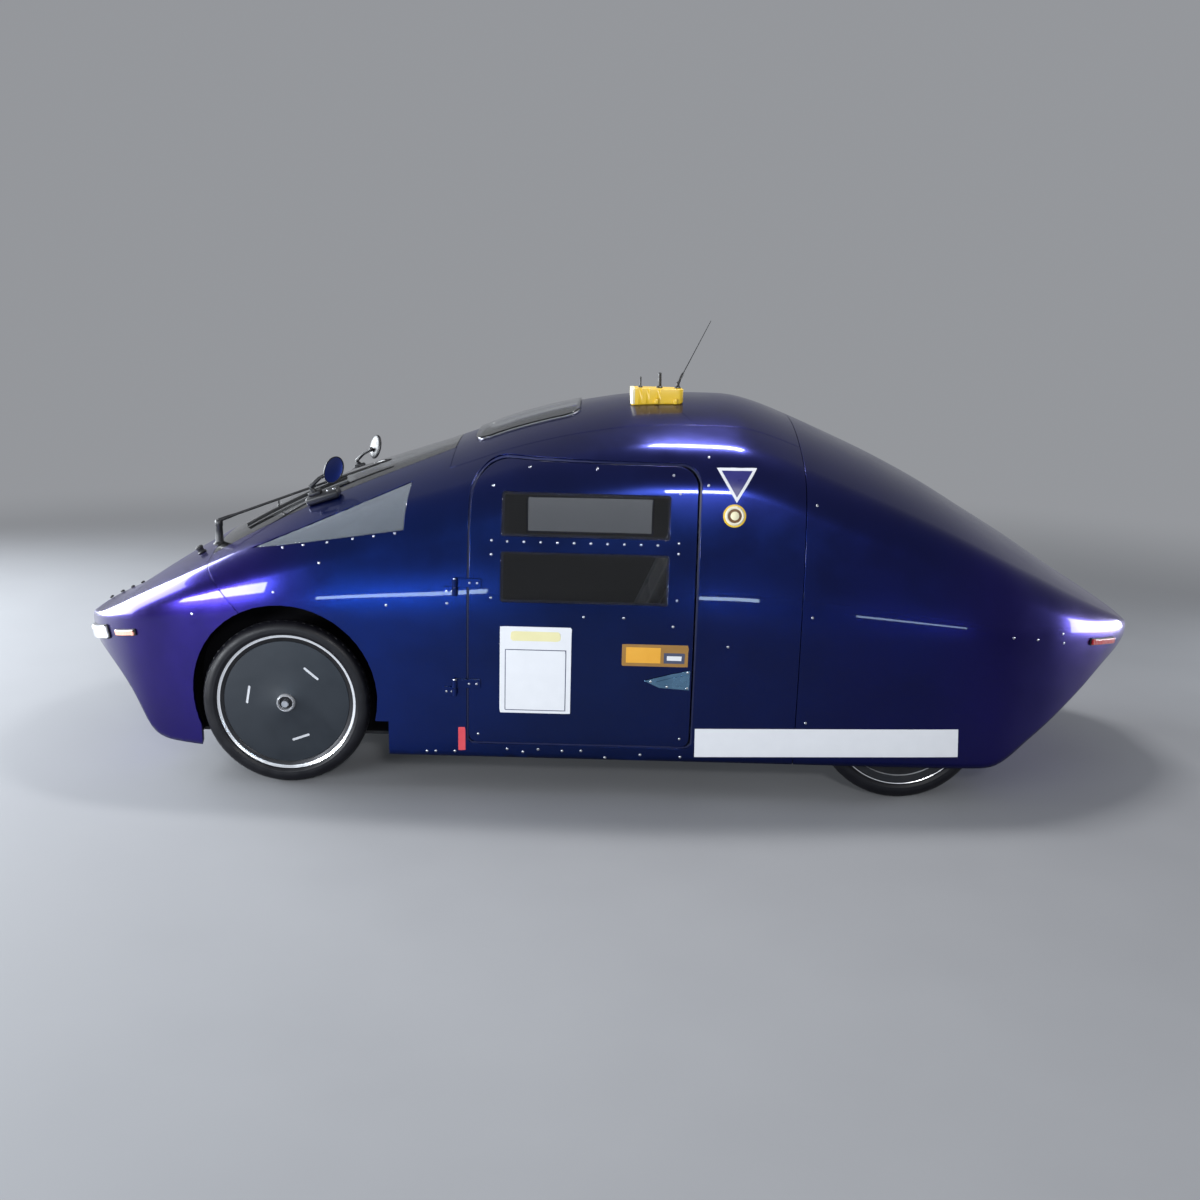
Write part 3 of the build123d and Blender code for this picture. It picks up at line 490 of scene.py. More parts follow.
def thicken(bm, wall, edge=EDGE, lift=0.0):
    """Turns a cut sheet into a closed panel: skin, rounded edge, rim, and an inner face."""
    shade = bm.verts.layers.float_vector.new("shade")
    outer = list(bm.faces)
    for vert in bm.verts:
        if vert.is_boundary:
            vert.co = on_skin(vert.co)
        vert[shade] = skin_normal(vert.co)
        vert.co = vert.co + vert[shade] * lift
    inner = bmesh.ops.duplicate(bm, geom=parts_of(outer))["geom"]
    inner_faces = [part for part in inner if isinstance(part, bmesh.types.BMFace)]
    for part in inner:
        if isinstance(part, bmesh.types.BMVert):
            # At the tips the wall is thinner than the body is high
            f = form_at(part.co.x)
            room = 0.3 * (f["top"] - f["low"]) * f["squash"]
            part.co = part.co - part[shade] * min(wall, room)
            part[shade] = -part[shade]
    bmesh.ops.reverse_faces(bm, faces=inner_faces)
    for face in inner_faces:
        face.material_index = 1
    outer_set = set(outer)
    ring = [e for e in bm.edges if e.is_boundary and e.link_faces[0] in outer_set]
    away = {}
    for e in ring:
        along = (e.verts[1].co - e.verts[0].co).normalized()
        middle = (e.verts[0].co + e.verts[1].co) / 2
        out = along.cross(e.verts[0][shade])
        if out.dot(e.link_faces[0].calc_center_median() - middle) > 0:
            out.negate()
        for vert in e.verts:
            away[vert] = away.get(vert, Vector()) + out
    start = {v: (v.co.copy(), v[shade].copy(), out.normalized()) for v, out in away.items()}
    turns = [(edge * sin(a), edge * (1 - cos(a)), cos(a), sin(a)) for a in (pi / 6, pi / 3, pi / 2)]
    turns += [(edge, wall, -0.7, 0.7), (0.0, wall, -1.0, 0.0)]
    for out_by, down_by, up_share, out_share in turns:
        made = bmesh.ops.extrude_edge_only(bm, edges=ring)["geom"]
        ring = [part for part in made if isinstance(part, bmesh.types.BMEdge) and part.is_boundary]
        moved = {}
        for vert in [part for part in made if isinstance(part, bmesh.types.BMVert)]:
            source = next(e.other_vert(vert) for e in vert.link_edges if e.other_vert(vert) in start)
            base, normal, out = start[source]
            vert.co = base + out * out_by - normal * down_by
            vert[shade] = (normal * up_share + out * out_share).normalized()
            moved[vert] = start[source]
        start = moved
    bmesh.ops.remove_doubles(bm, verts=bm.verts[:], dist=0.00002)


def place_mesh(bm, name, body, slot, materials, replaced=()):
    """Makes the finished mesh a piece of the vehicle on its body, with its finishes."""
    if not bm.verts.layers.float_vector.get("shade"):
        bmesh.ops.remove_doubles(bm, verts=bm.verts[:], dist=0.00001)
        bmesh.ops.recalc_face_normals(bm, faces=bm.faces[:])
    mesh = bpy.data.meshes.new(name)
    bm.to_mesh(mesh)
    bm.free()
    for material in materials:
        mesh.materials.append(material)
    mesh.polygons.foreach_set("use_smooth", [True] * len(mesh.polygons))
    shade = mesh.attributes.get("shade")
    if shade:
        mesh.normals_split_custom_set_from_vertices([value.vector.copy() for value in shade.data])
        mesh.attributes.remove(mesh.attributes["shade"])
    else:
        mesh.set_sharp_from_angle(angle=radians(35))
    piece = bpy.data.objects.new(name, mesh)
    bpy.context.scene.collection.objects.link(piece)
    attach(piece, body)
    if replaced:
        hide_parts(*replaced)
    return piece


def painted_panel(sheet, name, body, replaced):
    """Gives a cut sheet the body's wall, paint outside and bare laminate inside."""
    thicken(sheet, WALL)
    place_mesh(sheet, name, body, "paint", (paint, lining), (replaced,))


def door_outline(grow):
    """The door's outline in side view: 0 for the door itself, 1 for its opening."""
    return rounded_outline(
        DOOR["x"][0] - grow * DOOR_GAPS["front"],
        DOOR["x"][1] + grow * DOOR_GAPS["rear"],
        DOOR["z"][0] - grow * DOOR_GAPS["low"],
        DOOR["z"][1] + grow * DOOR_GAPS["top"],
        DOOR["corners"],
        10,
    )


def crown_outline(x0, x1, half, corner=0.001, steps=1):
    """A rectangle in plan, even to both sides."""
    return rounded_outline(x0, x1, -half, half, corner, steps)


def cut_arches(sheet):
    """Cuts the front wheels' openings, round above and upright below."""
    below = rounded_outline(ARCH_FRONT_X - EDGE, ARCH_REAR_X + EDGE, 0.05, ARCH_CORNER_Z, 0.001, 1)
    cut_out(sheet, round_outline(FRONT_AXLE_X, ARCH_Z, ARCH_RADIUS + EDGE, 56))
    cut_out(sheet, below)


for side, word in SIDES:
    sheet = skin_sheet(side, COWL_X - 0.02, TAIL_SEAM_X - SEAM - EDGE, AROUND["floor"], 1.0)
    trim(sheet, (COWL_X + SEAM + EDGE, 0, COWL_Z), (-1, 0, -COWL_SLOPE))
    cut_out(sheet, crown_outline(ROOF_FRONT_X - EDGE, 1.0, ROOF_HALF_WIDTH + EDGE), plan=True)
    cut_out(sheet, grown(SCREEN, EDGE), plan=True)
    cut_out(sheet, grown(door_outline(1), EDGE))
    cut_out(sheet, grown(QUARTER, EDGE))
    cut_arches(sheet)
    painted_panel(sheet, f"side_panel_{word}", "body", f"body_side_{word}")

# Nose cowl and tail cover: one moulding each over both sides. The cowl ends at a seam that leans
# back, the tail at an upright one, and both are open below where the floor pan lies.
NOSE_REAR_X = -1.040
NOSE_FLOOR_X = -1.310
TAIL_FLOOR_X = 1.120


def whole_sheet(x_low, x_high, around_low, cell=CELL):
    """A sheet of both sides that meet at the crown, and below too if it starts at 0."""
    bm = skin_sheet(LEFT, x_low, x_high, around_low, 1, cell)
    other = skin_sheet(RIGHT, x_low, x_high, around_low, 1, cell)
    spare = bpy.data.meshes.new("spare")
    other.to_mesh(spare)
    other.free()
    bm.from_mesh(spare)
    bpy.data.meshes.remove(spare)
    bmesh.ops.remove_doubles(bm, verts=bm.verts[:], dist=0.00002)
    return bm


def close_tip(bm, x):
    """Closes the slit where a sheet ends at the nose's or tail's tip."""
    slit = [e for e in bm.edges if e.is_boundary and all(abs(v.co.x - x) < 0.0001 for v in e.verts)]
    made = bmesh.ops.holes_fill(bm, edges=slit, sides=0)["faces"]
    bm.normal_update()
    wrong = [face for face in made if face.normal.x * x < 0]
    bmesh.ops.reverse_faces(bm, faces=wrong)


def open_floor(sheet, x, end):
    """Takes out the flat underside between a plane and the cabin, where the floor pan lies."""
    bmesh.ops.bisect_plane(
        sheet, geom=parts_of(sheet.faces), dist=SNAP, plane_co=(x, 0, 0), plane_no=(1, 0, 0),
        use_snap_center=True,
    )
    faces = [f for f in sheet.faces if f.normal.z < -0.9]
    faces = [f for f in faces if (f.calc_center_median().x - x) * end < 0]
    bmesh.ops.delete(sheet, geom=faces, context="FACES")


sheet = whole_sheet(-HALF_LENGTH, NOSE_REAR_X, 0)
close_tip(sheet, -HALF_LENGTH)
trim(sheet, (COWL_X - SEAM - EDGE, 0, COWL_Z), (1, 0, COWL_SLOPE))
open_floor(sheet, NOSE_FLOOR_X - EDGE, -1)
cut_arches(sheet)
painted_panel(sheet, "nose", "body", "nose_cowl")

sheet = whole_sheet(TAIL_SEAM_X + SEAM + EDGE, HALF_LENGTH, 0)
close_tip(sheet, HALF_LENGTH)
open_floor(sheet, TAIL_FLOOR_X + EDGE, 1)
painted_panel(sheet, "tail", "body", "tail_cover")

# Roof and glazing: the painted crown strip has a hole under the skylight, which is a clear moulded
# tray that lies raised on it. The windscreen is a clear sheet that butts to the strip's front.
SKYLIGHT_X = (-0.430, -0.106)
SKYLIGHT_HALF_WIDTH = 0.235
SKYLIGHT_CORNER = 0.055
SKYLIGHT_LAP = 0.012
SKYLIGHT_RISE = 0.008
SKYLIGHT_CELL = 0.012
SKYLIGHT_WALL = 0.003
GLASS_WALL = 0.004
CROWN_START = AROUND["side"]

clear = finish(
    "clear_polycarbonate", (0.93, 0.95, 0.96), (0.97, 0.98, 0.98), 3, (0.0, 0.03),
    Transmission_Weight=1.0, IOR=1.45,
)


def inlay(name, body, slot, material, sheet, outline, wall, edge, lift=0.0, hole=None, plan=False,
          replaced=()):
    """A thin piece cut from a sheet to an outline, thickened, and lifted off the skin or sunk in it."""
    trim_to(sheet, outline, plan)
    if hole:
        cut_out(sheet, hole, plan)
    thicken(sheet, wall, edge, lift)
    place_mesh(sheet, name, body, slot, (material, material), replaced)


sheet = whole_sheet(ROOF_FRONT_X + SEAM + EDGE, TAIL_SEAM_X - SEAM - EDGE, CROWN_START)
trim_to(sheet, crown_outline(-1, 1, ROOF_HALF_WIDTH - SEAM - EDGE), plan=True)
hole = crown_outline(
    SKYLIGHT_X[0] + SKYLIGHT_LAP, SKYLIGHT_X[1] - SKYLIGHT_LAP, SKYLIGHT_HALF_WIDTH - SKYLIGHT_LAP,
    0.04, 6,
)
cut_out(sheet, hole, plan=True)
painted_panel(sheet, "roof", "body", "roof_panel")

tray = crown_outline(*SKYLIGHT_X, SKYLIGHT_HALF_WIDTH, SKYLIGHT_CORNER, 8)
sheet = whole_sheet(SKYLIGHT_X[0] - 0.01, SKYLIGHT_X[1] + 0.01, CROWN_START, SKYLIGHT_CELL)
inlay(
    "skylight_tray", "body", "clear_glass", clear, sheet, grown(tray, -SKYLIGHT_WALL), SKYLIGHT_WALL,
    SKYLIGHT_WALL * 0.9, SKYLIGHT_RISE - 0.0005, plan=True, replaced=("skylight",),
)
sheet = whole_sheet(SKYLIGHT_X[0] - 0.01, SKYLIGHT_X[1] + 0.01, CROWN_START, SKYLIGHT_CELL)
inlay(
    "skylight_rim", "body", "clear_glass", clear, sheet, grown(tray, -0.0015),
    SKYLIGHT_RISE - SKYLIGHT_WALL - 0.0008, 0.0003, SKYLIGHT_RISE - SKYLIGHT_WALL - 0.0006,
    hole=grown(tray, -0.0035), plan=True,
)

sheet = whole_sheet(COWL_X - 0.02, ROOF_FRONT_X, CROWN_START)
trim(sheet, (COWL_X + SEAM + EDGE, 0, COWL_Z), (-1, 0, -COWL_SLOPE))
inlay(
    "front_screen", "body", "clear_glass", clear, sheet, grown(SCREEN, -SEAM - EDGE), GLASS_WALL,
    EDGE, plan=True, replaced=("windscreen",),
)

# Quarter windows: clear panes, a little dull, let flush into the sides ahead of the doors. Their
# grey-blue tone is painted reflection. Each is bonded on a dark bead behind its edge and held by a
# row of small screws.
GLASS_FIT = 0.0006
BEAD_WALL = 0.003
BEAD_EDGE = 0.0005
BEAD_LIFT = -GLASS_WALL - 0.0004
QUARTER_BEAD = (0.006, -0.007)
QUARTER_SPAN = {"pane": (-1.07, -0.58), "bead": (-1.10, -0.55)}
SIDE_TOP = {"pane": 0.90, "bead": 0.93}
rubber = finish("seal_rubber", (0.010, 0.010, 0.011), (0.022, 0.022, 0.024), 80, (0.55, 0.75), 0.0001)
# The pane's grey-blue base colour is a painted reflection.
painted_reflection_pane = finish(
    "polycarbonate_painted_reflection", (0.30, 0.34, 0.40), (0.40, 0.44, 0.50), 6, (0.05, 0.14),
    Transmission_Weight=0.72, IOR=1.45,
)
for side, word in SIDES:
    sheet = skin_sheet(side, *QUARTER_SPAN["pane"], AROUND["floor"], SIDE_TOP["pane"])
    inlay(
        f"quarter_pane_{word}", "body", "clear_glass", painted_reflection_pane, sheet,
        grown(QUARTER, -GLASS_FIT - EDGE), GLASS_WALL, EDGE, replaced=(f"quarter_window_{word}",),
    )
    sheet = skin_sheet(side, *QUARTER_SPAN["bead"], AROUND["floor"], SIDE_TOP["bead"])
    inlay(
        f"quarter_bead_{word}", "body", "black_plastic", rubber, sheet,
        grown(QUARTER, QUARTER_BEAD[0]), BEAD_WALL, BEAD_EDGE, BEAD_LIFT,
        hole=grown(QUARTER, QUARTER_BEAD[1]),
    )

# Doors: each is one moulding with the body's curve and wall, hinged at its front edge. Two tinted
# panes sit flush in it on dark beads, and a rubber seal on the body fills the gap round it.
DOOR_SPAN = (-0.43, 0.27)
SEAL_SPAN = (-0.45, 0.29)
PANE_SPAN = (-0.34, 0.19)
PANE_X = (-0.318, 0.166)
PANES = {"upper": (0.773, 0.898), "lower": (0.583, 0.729)}
PANE_CORNER = 0.010
PANE_BEAD = (0.005, -0.006)
SEAL_FIT = 0.0004
SEAL_WIDTH = 0.004
SEAL_WALL = 0.005
SEAL_EDGE = 0.001
SEAL_SINK = 0.003
tinted = finish(
    "tinted_polycarbonate", (0.60, 0.62, 0.64), (0.68, 0.69, 0.71), 4, (0.0, 0.04),
    Transmission_Weight=1.0, IOR=1.45,
)
seal_blue = finish(
    "painted_seal", (0.003, 0.006, 0.045), (0.005, 0.010, 0.060), 30, (0.30, 0.42), 0.0001
)


def pane_outline(heights, grow):
    """A door window in side view, grown by a distance."""
    corner = max(PANE_CORNER + grow, 0.002)
    return rounded_outline(
        PANE_X[0] - grow, PANE_X[1] + grow, heights[0] - grow, heights[1] + grow, corner, 5
    )


for side, word in SIDES:
    body = f"door_{word}"
    sheet = skin_sheet(side, *DOOR_SPAN, AROUND["floor"], SIDE_TOP["bead"])
    trim(sheet, (0, side * (ROOF_HALF_WIDTH + DOOR_GAPS["front"] + EDGE), 0), (0, -side, 0))
    trim_to(sheet, grown(door_outline(0), -EDGE))
    for heights in PANES.values():
        cut_out(sheet, pane_outline(heights, EDGE))
    painted_panel(sheet, f"door_skin_{word}", body, f"door_panel_{word}")
    for name, heights in PANES.items():
        sheet = skin_sheet(side, *PANE_SPAN, AROUND["floor"], SIDE_TOP["pane"])
        inlay(
            f"door_pane_{name}_{word}", body, "tinted_glass", tinted, sheet,
            pane_outline(heights, -GLASS_FIT - EDGE), GLASS_WALL, EDGE,
            replaced=(f"door_windows_{word}",) if name == "upper" else (),
        )
        sheet = skin_sheet(side, *PANE_SPAN, AROUND["floor"], SIDE_TOP["bead"])
        inlay(
            f"door_bead_{name}_{word}", body, "black_plastic", seal_blue, sheet,
            pane_outline(heights, PANE_BEAD[0]), BEAD_WALL, BEAD_EDGE, BEAD_LIFT,
            hole=pane_outline(heights, PANE_BEAD[1]),
        )
    sheet = skin_sheet(side, *SEAL_SPAN, AROUND["floor"], SIDE_TOP["bead"])
    trim(sheet, (0, side * (ROOF_HALF_WIDTH + 0.002), 0), (0, -side, 0))
    inlay(
        f"door_seal_{word}", "body", "black_plastic", seal_blue, sheet,
        grown(door_outline(1), -SEAL_FIT), SEAL_WALL, SEAL_EDGE, -SEAL_SINK,
        hole=grown(door_outline(1), -SEAL_FIT - SEAL_WIDTH),
    )

# Lamps: moulded lenses with upright ribs, bonded to the skin near both tips. The headlamps are pale,
# the indicators behind them amber and the tail lamps red. Each has a dark gasket round it.
LAMPS = {
    "headlamps": {"end": -1, "tip": 0.087, "z": 0.384, "size": (0.126, 0.044), "rise": 20.0},
    "indicators": {"end": -1, "tip": 0.225, "z": 0.4215, "size": (0.084, 0.021), "rise": 13.0},
    "tail_lamps": {"end": 1, "tip": 0.172, "z": 0.458, "size": (0.110, 0.022), "rise": 8.0},
}
LAMP_SLOTS = {"headlamps": "headlamp", "indicators": "indicator", "tail_lamps": "tail_lamp"}
LAMP_CELL = 0.006
LENS_WALL = 0.0075
LENS_EDGE = 0.0022
LENS_LIFT = 0.010
GASKET = 0.0025
GASKET_WALL = 0.0035
GASKET_EDGE = 0.0008
GASKET_LIFT = 0.0038


def turned_outline(outline, x, z, angle):
    """A flat outline turned in side view and set at a place."""
    return [
        (x + a * cos(angle) - b * sin(angle), z + a * sin(angle) + b * cos(angle)) for a, b in outline
    ]


def lamp_outline(lamp, grow):
    """A lamp's rounded outline in side view, turned to rise towards the cabin."""
    half_x, half_z = (size / 2 + grow for size in lamp["size"])
    flat = rounded_outline(-half_x, half_x, -half_z, half_z, lamp["size"][1] / 4 + grow, 5)
    middle = lamp["end"] * (HALF_LENGTH - lamp["tip"])
    return turned_outline(flat, middle, lamp["z"], radians(-lamp["end"] * lamp["rise"]))


def lens_material(name, low, high, clearness):
    """A glossy lens with upright ribs moulded into its back."""
    material = finish(
        name, low, high, 30, (0.04, 0.10), Transmission_Weight=clearness, IOR=1.49, Coat_Weight=1.0,
        Coat_Roughness=0.01,
    )
    tree = material.node_tree
    ribs = add_node(
        tree, "TexWave", {"bands_direction": "X"},
        Vector=tree.nodes["Texture Coordinate"].outputs["Object"], Scale=45,
    )
    relief = add_node(tree, "Bump", Height=ribs.outputs["Fac"], Strength=0.5, Distance=0.002)
    tree.links.new(relief.outputs["Normal"], tree.nodes["Principled BSDF"].inputs["Normal"])
    return material


lenses = {
    "headlamps": lens_material("headlamp_lens", (0.93, 0.93, 0.97), (0.97, 0.97, 0.99), 0.04),
    "indicators": lens_material("indicator_lens", (0.92, 0.34, 0.24), (0.98, 0.46, 0.34), 0.04),
    "tail_lamps": lens_material("tail_lens", (0.45, 0.012, 0.015), (0.60, 0.02, 0.02), 0.1),
}
for node, lamp in LAMPS.items():
    places = [point[0] for point in lamp_outline(lamp, 0.01)]
    span = (max(min(places), 0.0005 - HALF_LENGTH), min(max(places), HALF_LENGTH - 0.0005))
    for side, word in SIDES:
        sheet = skin_sheet(side, *span, AROUND["floor"], 1.0, LAMP_CELL)
        inlay(
            f"{node}_{word}", "body", LAMP_SLOTS[node], lenses[node], sheet,
            lamp_outline(lamp, -GASKET - LENS_EDGE), LENS_WALL, LENS_EDGE, LENS_LIFT,
            replaced=(node,) if side == LEFT else (),
        )
        sheet = skin_sheet(side, *span, AROUND["floor"], 1.0, LAMP_CELL)
        inlay(
            f"{node}_gasket_{word}", "body", "black_plastic", rubber, sheet,
            lamp_outline(lamp, -GASKET_EDGE), GASKET_WALL, GASKET_EDGE, GASKET_LIFT,
        )

# Wheels: 20-inch aluminium rims with narrow tyres, nearly slick. The front pair has a dark sheet
# cover on each face, and three bright keys are let into the outer one round a turned hub.
# The rear pair has a dark web behind a dished rim, and only its foot shows under the tail.
WHEEL_Y = 0.550
REAR_AXLE_X = 0.877
TYRE_RADIUS = 0.250
TYRE_HALF = 0.024
TYRE_MIDDLE = 0.2235
TREAD_OUT = (0.006, 0.0145)
TREAD_RADIUS = 0.240
TREAD_STEPS = 180
TREAD_DEPTH = 0.0010
FLANGE_RADIUS = 0.209
RIM_LOW = 0.187
HUB_RADIUS = 0.028
AXLE_END = 0.009
KEY_COUNT = 3
KEY_PLACE = 0.116
KEY_SIZE = (0.008, 0.056)
KEY_CORNER = 0.0038
KEY_DEPTH = 0.0018
KEY_START = 50

# Half sections as (radius, distance out from the wheel's middle)
TYRE_BEAD = (FLANGE_RADIUS - 0.004, 0.0122)
FLANGE = [
    (FLANGE_RADIUS - 0.0006, 0.0150), (FLANGE_RADIUS, 0.0142), (FLANGE_RADIUS, 0.0128),
    (0.2030, 0.0124), (0.2020, 0.0112),
]
FRONT_RIM = [
    (RIM_LOW, 0.0085), (RIM_LOW + 0.002, 0.0100), (0.1985, 0.0108), (0.2030, 0.0128),
    (0.2062, 0.0148), *FLANGE,
]
REAR_RIM = [
    (0.180, 0.0060), (0.182, 0.0090), (0.1990, 0.0128), (0.2040, 0.0134), (0.2030, 0.0128),
    (0.2062, 0.0148), *FLANGE,
]
COVER = [
    (HUB_RADIUS - 0.002, 0.0180), (0.06, 0.0130), (0.10, 0.0120), (0.14, 0.0108), (0.17, 0.0098),
    (0.1855, 0.0092), (0.1866, 0.0082),
]
WEB = [(HUB_RADIUS - 0.002, 0.0040), (0.1700, 0.0040), (0.1805, 0.0050)]
HUB = [
    (0.0, 0.0190), (0.0030, 0.0190), (0.0034, 0.0232), (AXLE_END, 0.0232), (AXLE_END, 0.0170),
    (0.0195, 0.0170), (0.0205, 0.0245), (0.0230, 0.0300), (0.0265, 0.0245), (HUB_RADIUS, 0.0200),
    (HUB_RADIUS, 0.0030),
]

tyre_rubber = finish(
    "tyre_rubber", (0.003, 0.003, 0.005), (0.007, 0.007, 0.010), 30, (0.34, 0.50), 0.0002, 260,
    Specular_IOR_Level=0.3,
)
cover_sheet = finish(
    "cover_sheet", (0.006, 0.010, 0.016), (0.012, 0.018, 0.027), 14, (0.38, 0.52), 0.00008, 500,
    Metallic=0.25, Coat_Weight=0.25, Coat_Roughness=0.25,
)
polished_alloy = finish(
    "polished_alloy", (0.78, 0.79, 0.82), (0.90, 0.91, 0.94), 40, (0.14, 0.26), Metallic=0.6
)
black_alloy = finish(
    "black_alloy", (0.012, 0.012, 0.014), (0.025, 0.025, 0.028), 40, (0.30, 0.42), 0.00005, 300,
    Metallic=0.6,
)


def soften(bm, edges, width, segments):
    """Rounds some edges of a mesh."""
    bmesh.ops.bevel(
        bm, geom=edges, offset=width, offset_type="OFFSET", affect="EDGES", segments=segments,
        profile=0.5, material=-1, clamp_overlap=True,
    )


def turned(half, x, side, steps, edge=0.0):
    """A ring or disc turned about a wheel's axle, with the same section on its inner face."""
    profile = half + [(radius, -out) for radius, out in reversed(half)]
    bm = bmesh.new()
    verts = [bm.verts.new((x, side * (WHEEL_Y + out), HUB_Z + radius)) for radius, out in profile]
    pairs = list(zip(verts, verts[1:]))
    if profile[0][0] > 0:
        pairs.append((verts[-1], verts[0]))
    edges = [bm.edges.new(pair) for pair in pairs]
    bmesh.ops.spin(
        bm, geom=verts + edges, cent=(x, 0, HUB_Z), axis=(0, 1, 0), angle=2 * pi, steps=steps,
        use_merge=True,
    )
    bmesh.ops.remove_doubles(bm, verts=bm.verts[:], dist=0.00001)
    bmesh.ops.recalc_face_normals(bm, faces=bm.faces[:])
    if edge:
        corners = [e for e in bm.edges if e.is_manifold and e.calc_face_angle() > radians(28)]
        soften(bm, corners, edge, 2)
    return bm


def tyre_half():
    """The tyre's half section: a bead, a round side with a fine raised line, and the tread."""
    section = [TYRE_BEAD]
    for step in range(25):
        angle = radians(126 - step * 5.25)
        line = 0.0007 if step in (3, 4) else 0.0
        radius = TYRE_MIDDLE + (TYRE_RADIUS - TYRE_MIDDLE) * cos(angle)
        section.append((radius, TYRE_HALF * sin(angle) + line))
    return section


def cut_treads(bm, x, side):
    """Sinks two staggered rows of small notches into the tyre's tread."""
    treads = []
    for face in bm.faces:
        centre = face.calc_center_median()
        out = abs(abs(centre.y) - WHEEL_Y)
        if TREAD_OUT[0] < out < TREAD_OUT[1] and hypot(centre.x - x, centre.z - HUB_Z) > TREAD_RADIUS:
            turn = atan2(centre.z - HUB_Z, centre.x - x) / (2 * pi) * TREAD_STEPS
            stagger = 0.25 if centre.y > side * WHEEL_Y else 0.75
            if round(turn + stagger) % 3 == 0:
                treads.append(face)
    bmesh.ops.inset_region(
        bm, faces=treads, thickness=TREAD_DEPTH, depth=-TREAD_DEPTH, use_even_offset=True
    )


def mark_ring(bm, x, low, high):
    """Gives the second finish to what lies between two radii round the axle."""
    for face in bm.faces:
        centre = face.calc_center_median()
        face.material_index = int(low < hypot(centre.x - x, centre.z - HUB_Z) < high)


def let_in_keys(bm, x):
    """Sinks the bright keys into the outer face of a cover disc."""
    flat = rounded_outline(
        KEY_PLACE - KEY_SIZE[0] / 2, KEY_PLACE + KEY_SIZE[0] / 2, -KEY_SIZE[1] / 2, KEY_SIZE[1] / 2,
        KEY_CORNER, 5,
    )
    for key in range(KEY_COUNT):
        turn = radians(KEY_START + key * 360 / KEY_COUNT)
        middle = Vector((x + KEY_PLACE * cos(turn), HUB_Z + KEY_PLACE * sin(turn)))
        near = []
        for face in bm.faces:
            centre = face.calc_center_median()
            if abs(centre.y) > WHEEL_Y and (centre.xz - middle).length < 0.06:
                near.append(face)
        inside = cut_into(bm, turned_outline(flat, x, HUB_Z, turn), near, snap=0.0002)
        bmesh.ops.inset_region(bm, faces=inside, thickness=0.0004, depth=-KEY_DEPTH)
        for face in inside:
            face.material_index = 1


for side, word in SIDES:
    for end, x in (("front", FRONT_AXLE_X), ("rear", REAR_AXLE_X)):
        body = f"wheel_{end}_{word}"
        tag = f"{end}_{word}"
        bm = turned(tyre_half(), x, side, TREAD_STEPS)
        cut_treads(bm, x, side)
        place_mesh(bm, f"slick_{tag}", body, "tyre", (tyre_rubber,), (f"tyre_{tag}",))
        if end == "front":
            bm = turned(FRONT_RIM, x, side, 180)
            mark_ring(bm, x, RIM_LOW, 0.1975)
            place_mesh(bm, f"rim_{tag}", body, "disc", (polished_alloy, black_alloy))
            bm = turned(COVER, x, side, 160)
            let_in_keys(bm, x)
            finishes = (cover_sheet, polished_alloy)
            place_mesh(bm, f"cover_{tag}", body, "disc", finishes, (f"wheel_disc_{tag}",))
        else:
            bm = turned(REAR_RIM, x, side, 180)
            mark_ring(bm, x, 0.1825, 0.2035)
            place_mesh(bm, f"rim_{tag}", body, "alloy", (polished_alloy, black_alloy))
            bm = turned(WEB, x, side, 120)
            place_mesh(bm, f"web_{tag}", body, "alloy", (black_alloy,), (f"wheel_disc_{tag}",))
        bm = turned(HUB, x, side, 96, 0.0006)
        mark_ring(bm, x, AXLE_END + 0.0005, 0.0198)
        place_mesh(bm, f"hub_{tag}", body, "alloy", (polished_alloy, black_alloy))

# Mirrors: one on each windscreen pillar. A moulded foot is screwed to the pillar and carries a
# bent stalk with a ball, on which a thin-rimmed oval glass in a plastic back is turned to the driver.
MIRROR_X = -0.873
MIRROR_Y = 0.350
MIRROR_Z = 0.828
MIRROR_FOOT = (0.108, 0.046, 0.0255)
MIRROR_CLAMP = (0.040, 0.026, 0.012)
MIRROR_LEAD = 0.026
MIRROR_LIFT = 0.092
MIRROR_YAW = 37
MIRROR_LEAN = 14
MIRROR_OVAL = 0.038 / 0.043
MIRROR_BALL = 0.0085
STALK_RADII = (0.0090, 0.0080, 0.0068, 0.0058, 0.0052)
MIRROR_HEAD = [
    (0, -0.0050), (0.018, -0.0049), (0.031, -0.0040), (0.0395, -0.0020), (0.0425, 0.0008),
    (0.0430, 0.0030), (0.0424, 0.0047), (0.0412, 0.0050), (0.0403, 0.0044), (0.0400, 0.0026),
    (0.0300, 0.0035), (0.0200, 0.0042), (0.0100, 0.0046), (0, 0.0047),
]
MIRROR_GLASS_RADIUS = 0.0398
moulding = finish(
    "black_moulding", (0.010, 0.010, 0.012), (0.018, 0.018, 0.021), 60, (0.32, 0.46), 0.00012, 700
)
mirror_glass = finish(
    "mirror_glass", (0.80, 0.82, 0.84), (0.84, 0.86, 0.88), 5, (0.01, 0.03), Metallic=1.0
)
turned_steel = finish(
    "turned_steel", (0.46, 0.47, 0.50), (0.62, 0.63, 0.66), 60, (0.22, 0.36), 0.00003, 700,
    Metallic=1.0,
)


def skin_crossing(near, far, place):
    """Where a line of places crosses the skin, found by halving the span from near to far."""
    for _ in range(30):
        middle = (near + far) / 2
        if skin_distance(*place(middle)) < 0:
            near = middle
        else:
            far = middle
    return Vector(place(near))


def crown_place(x, y):
    """The skin seen straight from above at x and y."""
    return skin_crossing(GROUND_CLEARANCE + 0.2, ROOF_HEIGHT + 0.1, lambda z: (x, y, z))


def frame_at(point, out, along=(1, 0, 0)):
    """A placing matrix whose Z points out of a surface, with X as near as can be to a direction."""
    z = Vector(out).normalized()
    x = (Vector(along) - z * z.dot(Vector(along))).normalized()
    place = Matrix((x, z.cross(x), z)).transposed().to_4x4()
    place.translation = point
    return place


